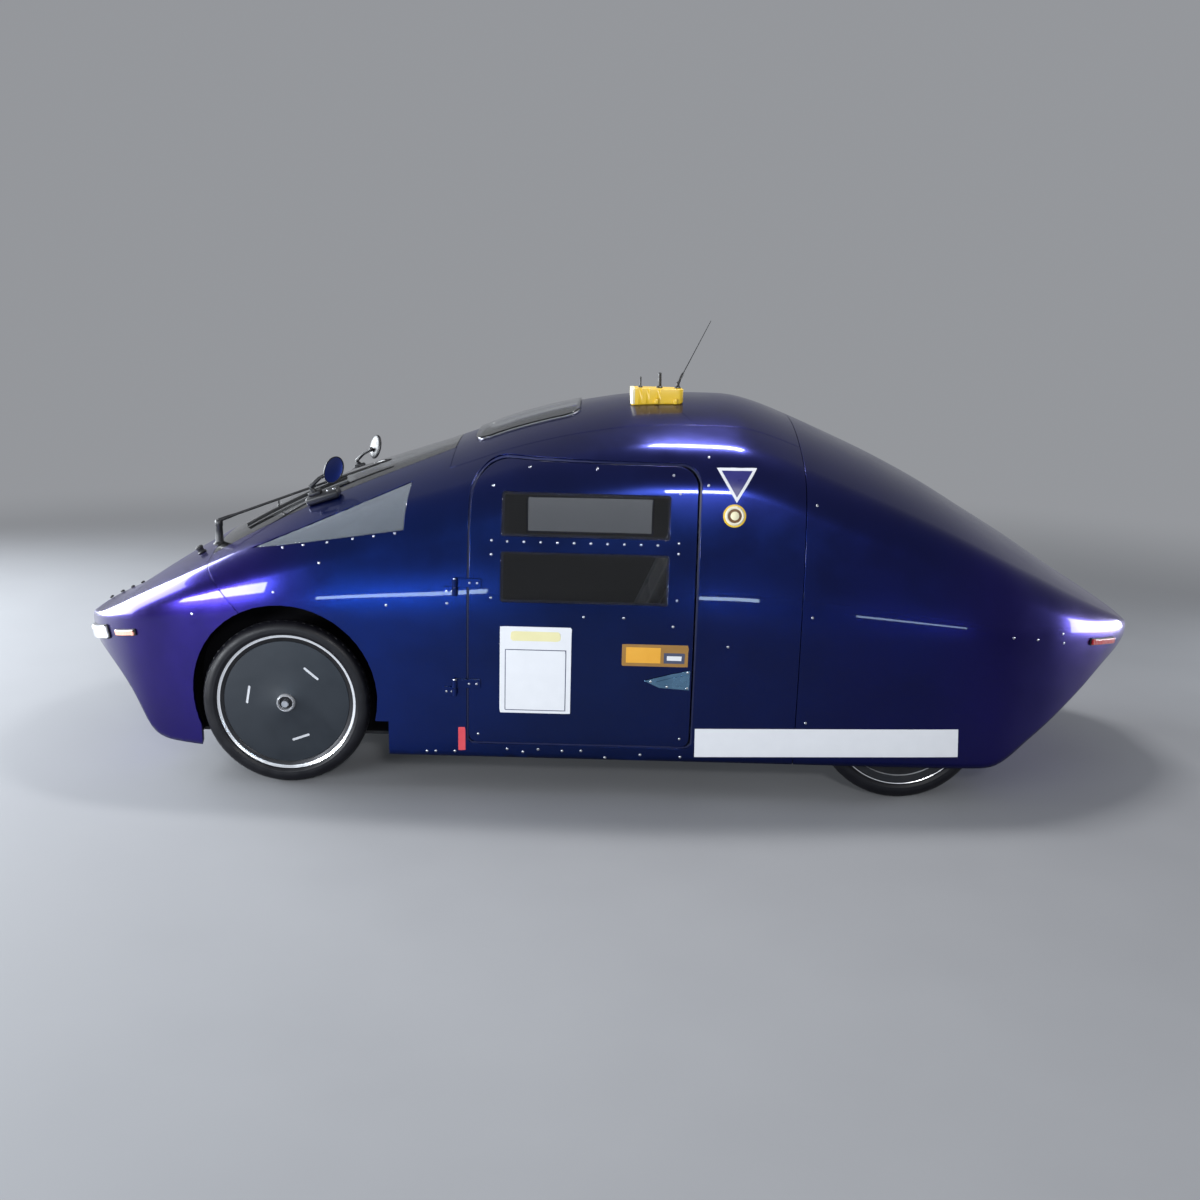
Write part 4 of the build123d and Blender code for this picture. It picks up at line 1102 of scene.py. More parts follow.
def skin_frame(point, lift=0.0):
    """A placing matrix on the skin at the place nearest to a point."""
    return frame_at(on_skin(point, lift), skin_normal(on_skin(point)))


def lathe(bm, profile, place, steps):
    """Turns a profile of (radius, height) about the local upright of a place."""
    verts = [bm.verts.new(place @ Vector((radius, 0, height))) for radius, height in profile]
    edges = [bm.edges.new(pair) for pair in zip(verts, verts[1:])]
    bmesh.ops.spin(
        bm, geom=verts + edges, cent=place.translation, axis=place.col[2].xyz, angle=2 * pi,
        steps=steps, use_merge=True,
    )


def block(bm, size, place, edge, segments):
    """A block with rounded edges, centred on a place."""
    made = bmesh.ops.create_cube(bm, size=1, matrix=place @ Matrix.Diagonal((*size, 1)))
    edges = {e for v in made["verts"] for e in v.link_edges}
    soften(bm, list(edges), edge, segments)


def join_rings(bm, rings):
    """Joins rings of corners, one after the other, into a closed bar."""
    for low, high in zip(rings, rings[1:]):
        for j in range(len(low)):
            bm.faces.new((low[j - 1], low[j], high[j], high[j - 1]))
    bm.faces.new(rings[0])
    bm.faces.new(rings[-1])


def bar(bm, points, radii, steps):
    """A round bar through points, with its own radius at each, closed at both ends."""
    points = [Vector(point) for point in points]
    turns = [2 * pi * j / steps for j in range(steps)]
    rings = []
    for k, point in enumerate(points):
        ahead = points[min(k + 1, len(points) - 1)] - points[max(k - 1, 0)]
        place = frame_at(point, ahead, (0, 1, 0))
        ring = [place @ Vector((radii[k] * cos(turn), radii[k] * sin(turn), 0)) for turn in turns]
        rings.append([bm.verts.new(corner) for corner in ring])
    join_rings(bm, rings)


def screws(name, body, frames, radius, height):
    """A row of domed screw or rivet heads, one on each place."""
    dome = [
        (0, height), (0.45 * radius, 0.95 * height), (0.8 * radius, 0.7 * height),
        (radius, 0.25 * height), (radius, -0.0001), (0, -0.0001),
    ]
    bm = bmesh.new()
    for place in frames:
        lathe(bm, dome, place, 14)
    place_mesh(bm, name, body, "steel", (turned_steel,))


for side, word in SIDES:
    foot = skin_frame((MIRROR_X, side * MIRROR_Y, MIRROR_Z))
    bm = bmesh.new()
    block(bm, MIRROR_FOOT, foot @ Matrix.Translation((0, 0, MIRROR_FOOT[2] / 2 + 0.0004)), 0.009, 4)
    clamp = foot @ Matrix.Translation((-0.020, 0, MIRROR_FOOT[2] + 0.0055))
    block(bm, MIRROR_CLAMP, clamp, 0.004, 3)
    head_z = crown_place(MIRROR_X, MIRROR_Y).z + MIRROR_LIFT
    head = Matrix.Translation((MIRROR_X + MIRROR_LEAD, side * MIRROR_Y, head_z))
    lean = Matrix.Rotation(radians(MIRROR_LEAN), 4, "Y")
    yaw = Matrix.Rotation(radians(side * MIRROR_YAW), 4, "Z")
    turn = head @ lean @ yaw @ Matrix.Rotation(radians(90), 4, "Y")
    ball = turn @ Vector((0.012, 0, -0.0125))
    turns = [pi * k / 8 for k in range(9)]
    round_half = [(MIRROR_BALL * sin(a), -MIRROR_BALL * cos(a)) for a in turns]
    lathe(bm, round_half, Matrix.Translation(ball), 20)
    stalk = [clamp @ Vector(point) for point in ((0, 0, 0.003), (-0.004, 0, 0.012), (-0.006, 0, 0.022))]
    stalk += [(stalk[-1] + ball) / 2 + Vector((-0.002, 0, 0.004)), ball]
    bar(bm, stalk, STALK_RADII, 16)
    replaced = ("mirrors",) if side == LEFT else ()
    place_mesh(bm, f"mirror_foot_{word}", "body", "black_plastic", (moulding,), replaced)
    bm = bmesh.new()
    lathe(bm, MIRROR_HEAD, Matrix(), 72)
    for face in bm.faces:
        centre = face.calc_center_median()
        face.material_index = int(centre.z > 0.0020 and centre.xy.length < MIRROR_GLASS_RADIUS)
    bmesh.ops.transform(bm, matrix=turn @ Matrix.Diagonal((1, MIRROR_OVAL, 1, 1)), verts=bm.verts)
    place_mesh(bm, f"mirror_head_{word}", "body", "black_plastic", (moulding, mirror_glass))
    frames = [foot @ Matrix.Translation((x, 0, MIRROR_FOOT[2] + 0.0003)) for x in (0.020, 0.040)]
    screws(f"mirror_screws_{word}", "body", frames, 0.0042, 0.0022)

# Wiper: a stepped post on the cowl, a black arm down over the screen, and a rubber blade under a
# round spine that follows the glass. Rubber stops for the cowl stand ahead of it and at the tip.
WIPER_X = (-1.215, -0.700)
WIPER_Y = (-0.300, -0.170)
WIPER_LIFT = (0.072, 0.014)
ARM_SHARES = (0.0, 0.06, 0.10, 0.985, 1.0)
ARM_RADII = (0.0062, 0.0058, 0.0042, 0.0032, 0.0015)
STRUT_SHARES = (0.34, 0.54)
BLADE_SPAN = (0.16, 0.74)
BLADE_STEPS = 14
BLADE_HALF = 0.0011
BLADE_SECTION = ((0.0012, -0.5), (0.0078, -1), (0.0078, 1), (0.0012, 0.5))
WIPER_POST = [
    (0, 0.0), (0.019, 0.0005), (0.019, 0.004), (0.0165, 0.007), (0.0125, 0.010), (0.0115, 0.030),
    (0.0105, 0.058), (0.0118, 0.060), (0.0118, 0.074), (0.0100, 0.0775), (0, 0.0785),
]
COWL_STOP = [
    (0, 0.0), (0.013, 0.0003), (0.014, 0.003), (0.010, 0.006), (0.010, 0.012), (0.0125, 0.016),
    (0.0120, 0.021), (0.008, 0.024), (0, 0.0245),
]
COWL_STOP_PLACE = (-1.27, -0.30, 0.646)
SMALL_STOP = [(0, 0), (0.007, 0.0003), (0.0072, 0.004), (0.005, 0.0065), (0, 0.007)]
SMALL_STOP_PLACES = (
    (-1.665, -0.02, 0.416), (-1.655, 0.05, 0.42), (-1.645, 0.11, 0.43), (-1.62, 0.14, 0.44),
)


def screen_point(share, lift):
    """A point over the windscreen on the wiper's line."""
    x = WIPER_X[0] + share * (WIPER_X[1] - WIPER_X[0])
    y = WIPER_Y[0] + share * (WIPER_Y[1] - WIPER_Y[0])
    return crown_place(x, y) + Vector((0, 0, lift))


def arm_point(share):
    """A point on the wiper's straight arm."""
    return screen_point(0, WIPER_LIFT[0]).lerp(screen_point(1, WIPER_LIFT[1]), share)


bm = bmesh.new()
post = crown_place(WIPER_X[0], WIPER_Y[0])
lathe(bm, WIPER_POST, Matrix.Translation(post + Vector((0, 0, -0.0045))), 28)
bar(bm, [arm_point(share) for share in ARM_SHARES], ARM_RADII, 12)
for share in STRUT_SHARES:
    bar(bm, [arm_point(share), screen_point(share, 0.010)], (0.0032, 0.0030), 10)
place_mesh(bm, "wiper_arm", "body", "black_plastic", (moulding,), ("wiper",))

bm = bmesh.new()
blade_step = (BLADE_SPAN[1] - BLADE_SPAN[0]) / BLADE_STEPS
spans = [BLADE_SPAN[0] + blade_step * k for k in range(BLADE_STEPS + 1)]
bar(bm, [screen_point(share, 0.0098) for share in spans], [0.0036] * len(spans), 12)
across = Vector((WIPER_Y[1] - WIPER_Y[0], WIPER_X[0] - WIPER_X[1], 0)).normalized() * BLADE_HALF
rings = []
for share in spans:
    ring = [screen_point(share, lift) + across * way for lift, way in BLADE_SECTION]
    rings.append([bm.verts.new(corner) for corner in ring])
join_rings(bm, rings)
place_mesh(bm, "wiper_blade", "body", "black_plastic", (rubber,))

bm = bmesh.new()
lathe(bm, COWL_STOP, skin_frame(COWL_STOP_PLACE, 0.0003), 24)
for place in SMALL_STOP_PLACES:
    lathe(bm, SMALL_STOP, skin_frame(place, 0.0003), 14)
place_mesh(bm, "cowl_stops", "body", "black_plastic", (rubber,))

# Roof box: a yellow moulded transponder case on a thin pad, with two stub aerials and a whip.
# It is a competition fitting, and it sits on the crown behind the skylight, left of the middle.
BOX_X = (0.048, 0.210)
BOX_Y = (-0.220, -0.080)
BOX_TOP = 1.180
BOX_PAD = 0.004
BOX_EDGE = 0.006
BOX_CORNER = 0.014
BOX_PALE_END = 0.012
BOX_CELL = 0.012
CLIP_SIZE = (0.012, 0.006, 0.016)
CLIP_PLACES = ((0.128, 1.143), (0.186, 1.143))
AERIAL_Y = (BOX_Y[0] + BOX_Y[1]) / 2
AERIAL_FEET = ((0.079, 0.003, 0.034), (0.139, 0.006, 0.048), (0.196, 0.0062, 0.020))
WHIP_KNEE = Vector((0.210, AERIAL_Y, 1.2243))
WHIP_TIP = Vector((0.291, AERIAL_Y, 1.389))
WHIP_STEPS = 8
yellow = finish(
    "yellow_moulding", (0.80, 0.50, 0.020), (0.88, 0.58, 0.035), 35, (0.30, 0.42), 0.00008, 500,
    Coat_Weight=0.3, Coat_Roughness=0.15,
)
pale_moulding = finish(
    "pale_moulding", (0.86, 0.78, 0.50), (0.92, 0.86, 0.60), 40, (0.28, 0.40), 0.00006, 500
)


def box_outline(grow):
    """The roof box in plan."""
    return rounded_outline(
        BOX_X[0] - grow, BOX_X[1] + grow, BOX_Y[0] - grow, BOX_Y[1] + grow, BOX_CORNER + grow, 6
    )


sheet = skin_sheet(LEFT, BOX_X[0] - 0.01, BOX_X[1] + 0.01, CROWN_START, 1.0, BOX_CELL)
inlay(
    "roof_box_pad", "body", "yellow", yellow, sheet, box_outline(-0.003), BOX_PAD - 0.0006, 0.0010,
    BOX_PAD - 0.0003, plan=True,
)
sheet = skin_sheet(LEFT, BOX_X[0] - 0.01, BOX_X[1] + 0.01, CROWN_START, 1.0, BOX_CELL)
trim_to(sheet, box_outline(0), plan=True)
for vert in sheet.verts:
    vert.co.z += BOX_PAD
made = bmesh.ops.extrude_face_region(sheet, geom=sheet.faces[:])["geom"]
for vert in [part for part in made if isinstance(part, bmesh.types.BMVert)]:
    vert.co.z = BOX_TOP
corners = [e for e in sheet.edges if e.is_manifold and e.calc_face_angle() > radians(60)]
bmesh.ops.recalc_face_normals(sheet, faces=sheet.faces[:])
soften(sheet, corners, BOX_EDGE, 4)
for face in sheet.faces:
    face.material_index = int(face.calc_center_median().x < BOX_X[0] + BOX_PALE_END)
place_mesh(sheet, "roof_box_case", "body", "yellow", (yellow, pale_moulding), ("roof_box",))
bm = bmesh.new()
for x, z in CLIP_PLACES:
    block(bm, CLIP_SIZE, Matrix.Translation((x, BOX_Y[0] - 0.0032, z)), 0.002, 2)
place_mesh(bm, "roof_box_clips", "body", "yellow", (yellow,))

bm = bmesh.new()
for x, radius, height in AERIAL_FEET:
    stub = [
        (0, 0.0003), (radius + 0.004, 0.0005), (radius + 0.004, 0.003), (radius, 0.006),
        (radius * 0.9, height - 0.003), (radius * 0.6, height - 0.0008), (0, height),
    ]
    lathe(bm, stub, Matrix.Translation((x, AERIAL_Y, BOX_TOP)), 20)
elbow = [(0.1965, AERIAL_Y, 1.190), (0.199, AERIAL_Y, 1.200), WHIP_KNEE, WHIP_KNEE.lerp(WHIP_TIP, 0.03)]
bar(bm, elbow, (0.0050, 0.0048, 0.0042, 0.0020), 14)
shares = [k / WHIP_STEPS for k in range(WHIP_STEPS + 1)]
bar(bm, [WHIP_KNEE.lerp(WHIP_TIP, t) for t in shares], [0.0017 - 0.0007 * t for t in shares], 8)
place_mesh(bm, "aerial_set", "body", "black_plastic", (moulding,), ("aerials",))

# Stop button: the outside cut-off that race rules ask for, behind the left door. It is a round
# moulding with a yellow foot, a cream ring, and a pale push knob in a brown groove.
BUTTON_X = 0.348
BUTTON_Z = 0.847
BUTTON = [
    (0, 0.0135), (0.008, 0.0130), (0.0125, 0.0105), (0.0135, 0.0080), (0.0135, 0.0050),
    (0.0200, 0.0046), (0.0200, 0.0078), (0.0215, 0.0088), (0.0245, 0.0088), (0.0265, 0.0070),
    (0.0280, 0.0052), (0.0320, 0.0046), (0.0330, 0.0034), (0.0330, 0.0004), (0, 0.0004),
]
BUTTON_ZONES = ((3, 0.0120), (2, 0.0200), (1, 0.0280), (0, 1.0))
cream = finish("cream_plastic", (0.80, 0.74, 0.55), (0.88, 0.82, 0.64), 50, (0.30, 0.42), 0.00005, 400)
brown = finish("brown_plastic", (0.16, 0.07, 0.02), (0.24, 0.11, 0.03), 50, (0.40, 0.55), 0.00005, 400)


def side_place(x, z, side):
    """The skin seen straight from one side at x and z."""
    return skin_crossing(0.0, HALF_WIDTH + 0.05, lambda y: (x, side * y, z))


bm = bmesh.new()
place = skin_frame(side_place(BUTTON_X, BUTTON_Z, LEFT))
lathe(bm, BUTTON, place, 64)
for face in bm.faces:
    reach = (place.inverted() @ face.calc_center_median()).xy.length
    face.material_index = next(zone for zone, radius in BUTTON_ZONES if reach < radius)
finishes = (yellow, cream, brown, pale_moulding)
place_mesh(bm, "stop_knob", "body", "yellow", finishes, ("stop_button",))

# Stickers and plates: all blank. A triangle over the stop button, a race plate, an amber plate,
# a long strip on the sill and a small red tag, each a thin film that follows the skin.
FILM_CELL = 0.012
FILM_EDGE = 0.0003
FILM_GAP = 0.0002
FILM_TONES = {
    "white_film": ((0.76, 0.77, 0.80), (0.82, 0.83, 0.86), (0.28, 0.40)),
    "violet_film": ((0.022, 0.022, 0.15), (0.032, 0.030, 0.20), (0.25, 0.38)),
    "pale_yellow_film": ((0.80, 0.74, 0.40), (0.86, 0.80, 0.46), (0.30, 0.42)),
    "dark_film": ((0.05, 0.06, 0.11), (0.08, 0.09, 0.15), (0.30, 0.42)),
    "bronze_film": ((0.30, 0.15, 0.03), (0.38, 0.20, 0.05), (0.30, 0.42)),
    "amber_film": ((0.78, 0.36, 0.03), (0.86, 0.44, 0.05), (0.30, 0.42)),
    "red_film": ((0.62, 0.05, 0.07), (0.72, 0.09, 0.11), (0.30, 0.42)),
}
films = {
    name: finish(name, low, high, 25, rough, 0.00005, 300)
    for name, (low, high, rough) in FILM_TONES.items()
}
TRIANGLE = [(0.353, 0.884), (0.411, 0.980), (0.295, 0.979)]
RACE_PLATE = rounded_outline(-0.317, -0.110, 0.250, 0.512, 0.006, 4)
RACE_PANEL = rounded_outline(-0.302, -0.124, 0.258, 0.444, 0.004, 3)
RACE_BAND = rounded_outline(-0.286, -0.142, 0.470, 0.498, 0.010, 4)
AMBER_PLATE = rounded_outline(0.038, 0.230, 0.403, 0.468, 0.005, 4)
AMBER_FIELD = rounded_outline(0.050, 0.150, 0.413, 0.459, 0.003, 3)
GREY_FIELD = rounded_outline(0.160, 0.220, 0.413, 0.444, 0.003, 3)
SILL_STRIP = [(0.262, 0.124), (1.043, 0.145), (1.036, 0.232), (0.260, 0.213)]
RED_TAG = rounded_outline(-0.4385, -0.4180, 0.127, 0.200, 0.003, 3)
FILMS = (
    ("triangle_edge", "body", TRIANGLE, 0.0008, "white_film"),
    ("triangle_field", "body", grown(TRIANGLE, -0.008), 0.0014, "violet_film"),
    ("race_plate", "door_left", RACE_PLATE, 0.0012, "white_film"),
    ("race_plate_frame", "door_left", RACE_PANEL, 0.0015, "dark_film"),
    ("race_plate_panel", "door_left", grown(RACE_PANEL, -0.0025), 0.0018, "white_film"),
    ("race_plate_band", "door_left", RACE_BAND, 0.0015, "pale_yellow_film"),
    ("amber_plate", "door_left", AMBER_PLATE, 0.0012, "bronze_film"),
    ("amber_field", "door_left", AMBER_FIELD, 0.0016, "amber_film"),
    ("grey_field", "door_left", GREY_FIELD, 0.0016, "dark_film"),
    ("pale_field", "door_left", grown(GREY_FIELD, -0.009), 0.0019, "white_film"),
    ("sill_strip", "body", SILL_STRIP, 0.0008, "white_film"),
    ("red_tag", "body", RED_TAG, 0.0010, "red_film"),
)
for name, body, outline, lift, film in FILMS:
    places = [point[0] for point in outline]
    sheet = skin_sheet(
        LEFT, min(places) - 0.01, max(places) + 0.01, AROUND["floor"], SIDE_TOP["bead"], FILM_CELL
    )
    inlay(name, body, "paint", films[film], sheet, outline, lift - FILM_GAP, FILM_EDGE, lift)

# Door hinges and latches: painted leaves with a steel pin at each door's front edge, and a
# tapered blued-steel keep with a flush lever and four screws at its rear edge.
HINGE_X = -0.448
HINGE_Y = 0.617
HINGE_LEVELS = (("low", 0.300), ("high", 0.600))
HINGE_HEIGHT = 0.024
HINGE_GAP = 0.0006
HINGE_CELL = 0.008
LEAF_WALL = 0.0050
LEAF_EDGE = 0.0012
LEAF_LIFT = 0.0056
BARREL = [
    (0.0040, 0.0002), (0.0070, 0.0002), (0.0078, 0.0012), (0.0078, HINGE_HEIGHT - 0.0012),
    (0.0070, HINGE_HEIGHT - 0.0002), (0.0040, HINGE_HEIGHT - 0.0002), (0.0040, 0.0002),
]
PIN = [
    (0, -0.0250), (0.0034, -0.0248), (0.0037, -0.0240), (0.0037, 0.0240), (0.0056, 0.0243),
    (0.0052, 0.0262), (0, 0.0270),
]
LATCH_SPAN = (0.09, 0.25)
LATCH_CELL = 0.010
LATCH_EDGE = 0.0010
LATCH = [(0.103, 0.359), (0.150, 0.338), (0.238, 0.333), (0.238, 0.394), (0.150, 0.372)]
LATCH_PARTS = (("keep", -0.0012, 0.0042, 0.0038), ("lever", -0.0120, 0.0064, 0.0021))
LATCH_SCREWS = ((0.124, 0.3575), (0.172, 0.3425), (0.231, 0.3395), (0.231, 0.3870))
blued_steel = finish(
    "blued_steel", (0.10, 0.22, 0.36), (0.20, 0.36, 0.52), 24, (0.16, 0.30), 0.00003, 600, Metallic=1.0
)


def hinge_half(side, word, kind, body, start, reach, screw_x, replaced):
    """One half of both hinges of a door: leaf and barrel, with the pin in the door's half."""
    frames = []
    for level, low in HINGE_LEVELS:
        z = low + start
        tag = f"{kind}_{level}_{word}"
        sheet = skin_sheet(
            side, reach[0] - 0.01, reach[1] + 0.01, AROUND["floor"], SIDE_TOP["bead"], HINGE_CELL
        )
        outline = rounded_outline(*reach, z, z + HINGE_HEIGHT, 0.003, 3)
        inlay(
            f"hinge_{tag}", body, "steel", paint, sheet, outline, LEAF_WALL, LEAF_EDGE, LEAF_LIFT,
            replaced=replaced if level == "low" else (),
        )
        place = Matrix.Translation((HINGE_X, side * HINGE_Y, z))
        bm = bmesh.new()
        lathe(bm, BARREL, place, 24)
        place_mesh(bm, f"barrel_{tag}", body, "steel", (paint,))
        if kind == "leaf":
            bm = bmesh.new()
            lathe(bm, PIN, place, 20)
            place_mesh(bm, f"pin_{tag}", body, "steel", (turned_steel,))
        for x in screw_x:
            frames.append(skin_frame(side_place(x, z + HINGE_HEIGHT / 2, side), 0.0057))
    screws(f"hinge_screws_{kind}_{word}", body, frames, 0.0034, 0.0016)


for side, word in SIDES:
    fixed = ("hinge_mounts",) if side == LEFT else ()
    hinge_half(side, word, "eye", "body", 0.0, (-0.482, -0.450), (-0.472, -0.456), fixed)
    hinge_half(
        side, word, "leaf", f"door_{word}", HINGE_HEIGHT + HINGE_GAP, (-0.446, -0.374),
        (-0.406, -0.384), (f"door_hinges_{word}",),
    )
    for name, grow, lift, wall in LATCH_PARTS:
        sheet = skin_sheet(side, *LATCH_SPAN, AROUND["floor"], SIDE_TOP["bead"], LATCH_CELL)
        inlay(
            f"latch_{name}_{word}", f"door_{word}", "steel", blued_steel, sheet, grown(LATCH, grow),
            wall, LATCH_EDGE, lift, replaced=(f"door_latch_{word}",) if name == "keep" else (),
        )
    frames = [skin_frame(side_place(x, z, side), 0.0043) for x, z in LATCH_SCREWS]
    screws(f"latch_screws_{word}", f"door_{word}", frames, 0.0036, 0.0016)

# Rivets and screws: small bright domed heads that hold the panels, the sill and the panes.
# The same ones are on both sides.
PANEL_RIVETS = (
    (-0.974, 0.593), (-1.224, 0.513), (-0.841, 0.681), (-0.471, 0.575), (-0.647, 0.565),
    (0.345, 0.467), (0.273, 1.006), (0.272, 0.930),
)
SILL_RIVETS = (
    (-0.532, 0.121), (-0.506, 0.122), (-0.449, 0.123), (-0.294, 0.134), (-0.247, 0.126),
    (-0.202, 0.135), (-0.131, 0.132), (-0.075, 0.134), (-0.003, 0.114), (0.101, 0.126),
    (0.220, 0.122),
)
TAIL_RIVETS = (
    (1.350, 0.507), (1.357, 0.478), (1.260, 0.499), (1.177, 0.511), (0.585, 0.880),
    (0.585, 0.560), (0.585, 0.240),
)
DOOR_RIVETS = (
    (-0.243, 0.962), (-0.047, 0.966), (0.172, 0.955), (-0.076, 0.545), (0.040, 0.545),
    (0.183, 0.523), (-0.345, 0.910), (-0.345, 0.760), (-0.345, 0.720), (-0.345, 0.595),
    (0.192, 0.905), (0.192, 0.765), (0.192, 0.735), (0.192, 0.600), (-0.380, 0.180),
    (0.215, 0.180),
)
PANE_ROW = tuple((-0.300 + 0.048 * k, 0.758) for k in range(10))
QUARTER_SCREWS = (
    (-0.953, 0.717), (-0.892, 0.727), (-0.821, 0.738), (-0.747, 0.750), (-0.686, 0.760),
    (-0.625, 0.770),
)
for side, word in SIDES:
    rows = (
        ("body_rivets", "body", PANEL_RIVETS + SILL_RIVETS + TAIL_RIVETS, 0.0040, 0.0016),
        ("quarter_screws", "body", QUARTER_SCREWS, 0.0034, 0.0015),
        ("door_rivets", f"door_{word}", DOOR_RIVETS + PANE_ROW, 0.0038, 0.0015),
    )
    for name, body, places, radius, height in rows:
        frames = [skin_frame(side_place(x, z, side), 0.0002) for x, z in places]
        screws(f"{name}_{word}", body, frames, radius, height)

# Seat: a bent bucket of dark laminate on a low plinth, with two pads of woven fabric. The pads are
# crowned, and sewn across in channels and along a seam inside each side bolster.
SEAT_LINE = ((-0.400, 0.236), (-0.060, 0.168), (0.020, 0.200), (0.262, 0.740))
SEAT_BEND = 0.060
SEAT_WIDTH = 0.440
SEAT_STEPS = 60
BUCKET_LOW = -0.0250
BUCKET_HIGH = -0.0135
BUCKET_LIP = 0.006
BUCKET_SECTION = (
    (-1, BUCKET_LOW), (1, BUCKET_LOW), (1, BUCKET_HIGH + BUCKET_LIP), (0.9, BUCKET_HIGH),
    (-0.9, BUCKET_HIGH), (-1, BUCKET_HIGH + BUCKET_LIP),
)
PLINTH_SIZE = (0.270, 0.360, 0.0316)
PLINTH_PLACE = (-0.195, 0, 0.1342)
PADS = (
    ("seat_cushion", 0.02, 0.36, (0.30, 0.52, 0.74)),
    ("seat_back", 0.42, 0.985, (0.2, 0.38, 0.56, 0.74)),
)
PAD_STEPS = 80
PAD_CORNERS = 48
PAD_ROUND = 0.07
PAD_LIFT = 0.0060
PAD_HALF = 0.0175
PAD_MOST = 0.0185
PAD_INSET = 0.014
SEAM_Y = 0.135
CHANNEL = {"depth": 0.0045, "width": 0.018}
SEAM_LINE = {"depth": 0.005, "width": 0.006}
BOLSTER_Y = 0.14
BOLSTER_RISE = 0.004
woven = finish(
    "woven_fabric", (0.018, 0.019, 0.023), (0.045, 0.047, 0.055), 18, (0.78, 0.92), 0.0006, 900,
    Sheen_Weight=0.35, Sheen_Roughness=0.4, Specular_IOR_Level=0.2,
)


def seat_path():
    """The seat's middle line as points, with a bend at each of its two inner corners."""
    corners = [Vector((x, 0, z)) for x, z in SEAT_LINE]
    line = [corners[0]]
    for before, corner, after in zip(corners, corners[1:], corners[2:]):
        come = (corner - before).normalized()
        go = (after - corner).normalized()
        cut = SEAT_BEND * tan(come.angle(go) / 2)
        start, end = corner - come * cut, corner + go * cut
        for k in range(9):
            t = k / 8
            line.append(start * (1 - t) ** 2 + corner * (2 * t * (1 - t)) + end * t * t)
    line.append(corners[-1])
    return line


def seat_station(line, share):
    """A point on the line at a share of its length, and the direction up off the seat there."""
    lengths = [(b - a).length for a, b in zip(line, line[1:])]
    left = share * sum(lengths)
    for (a, b), length in zip(zip(line, line[1:]), lengths):
        if left <= length:
            along = (b - a).normalized()
            return a + along * left, Vector((-along.z, 0, along.x))
        left -= length
    along = (line[-1] - line[-2]).normalized()
    return line[-1], Vector((-along.z, 0, along.x))


def groove(distance, size):
    """How deep a stitched line draws the fabric in at a distance from it."""
    return size["depth"] * exp(-((distance / size["width"]) ** 2))


def pad_corner(t, angle, channels):
    """How far across and up a corner of the pad's section lies, at a share of its length."""
    end = min(t, 1 - t) / PAD_ROUND
    puff = sqrt(1 - (1 - end) ** 2) if end < 1 else 1.0
    across = abs(cos(angle)) ** 0.35 * (1 if cos(angle) > 0 else -1)
    rise = abs(sin(angle)) ** 0.55 * (1 if sin(angle) > 0 else -1)
    y = across * (SEAT_WIDTH / 2 - PAD_INSET - 0.010 * (1 - puff))
    height = PAD_HALF * rise * max(puff, 0.05)
    if rise > 0:
        sewn = groove(abs(y) - SEAM_Y, SEAM_LINE)
        if abs(y) < SEAM_Y:
            sewn += sum(groove(t - channel, CHANNEL) for channel in channels)
        if abs(y) > BOLSTER_Y:
            sewn -= BOLSTER_RISE
        height = min(height - sewn * rise, PAD_MOST)
    return y, height


line = seat_path()
bm = bmesh.new()
rings = []
for k in range(SEAT_STEPS + 1):
    point, up = seat_station(line, k / SEAT_STEPS)
    rings.append([
        bm.verts.new(point + up * rise + Vector((0, y * SEAT_WIDTH / 2, 0)))
        for y, rise in BUCKET_SECTION
    ])
join_rings(bm, rings)
block(bm, PLINTH_SIZE, Matrix.Translation(PLINTH_PLACE), 0.004, 2)
place_mesh(bm, "seat_bucket", "body", "upholstery", (lining,), ("seat",))
for name, first, last, channels in PADS:
    bm = bmesh.new()
    rings = []
    for k in range(PAD_STEPS + 1):
        t = k / PAD_STEPS
        point, up = seat_station(line, first + (last - first) * t)
        ring = []
        for j in range(PAD_CORNERS):
            y, height = pad_corner(t, 2 * pi * j / PAD_CORNERS, channels)
            ring.append(bm.verts.new(point + up * (PAD_LIFT + height) + Vector((0, y, 0))))
        rings.append(ring)
    join_rings(bm, rings)
    pad = place_mesh(bm, name, "body", "upholstery", (woven,))

# Cabin: a steering wheel with a rubber grip, a moulded dashboard, and a bulkhead, floor pan and
# front wheel houses of dark laminate, bonded into the hull. They show dark through the panes. The
# wheel houses' laminate is darker still and nearly without gloss: painted shade inside the arches.


def dress(material, *node_names):
    """Gives carried-over parts their finish."""
    for name in node_names:
        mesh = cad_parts[name].data
        mesh.materials.clear()
        mesh.materials.append(material)


grip = finish("grip_rubber", (0.012, 0.012, 0.013), (0.022, 0.022, 0.024), 90, (0.60, 0.78), 0.0004, 380)
floor_laminate = finish(
    "floor_laminate", (0.014, 0.015, 0.018), (0.030, 0.031, 0.036), 25, (0.45, 0.62), 0.0003, 420
)
# Painted shade: the arches' laminate is much darker and less glossy than the floor's.
shaded_house_laminate = finish(
    "wheel_house_painted_shade", (0.002, 0.002, 0.003), (0.005, 0.005, 0.007), 40, (0.75, 0.90), 0.0003,
    420, Specular_IOR_Level=0.1,
)
dress(grip, "steering_wheel")
dress(moulding, "dashboard")
dress(floor_laminate, "bulkhead", "floor_pan")
dress(shaded_house_laminate, "front_wheel_house_left", "front_wheel_house_right")

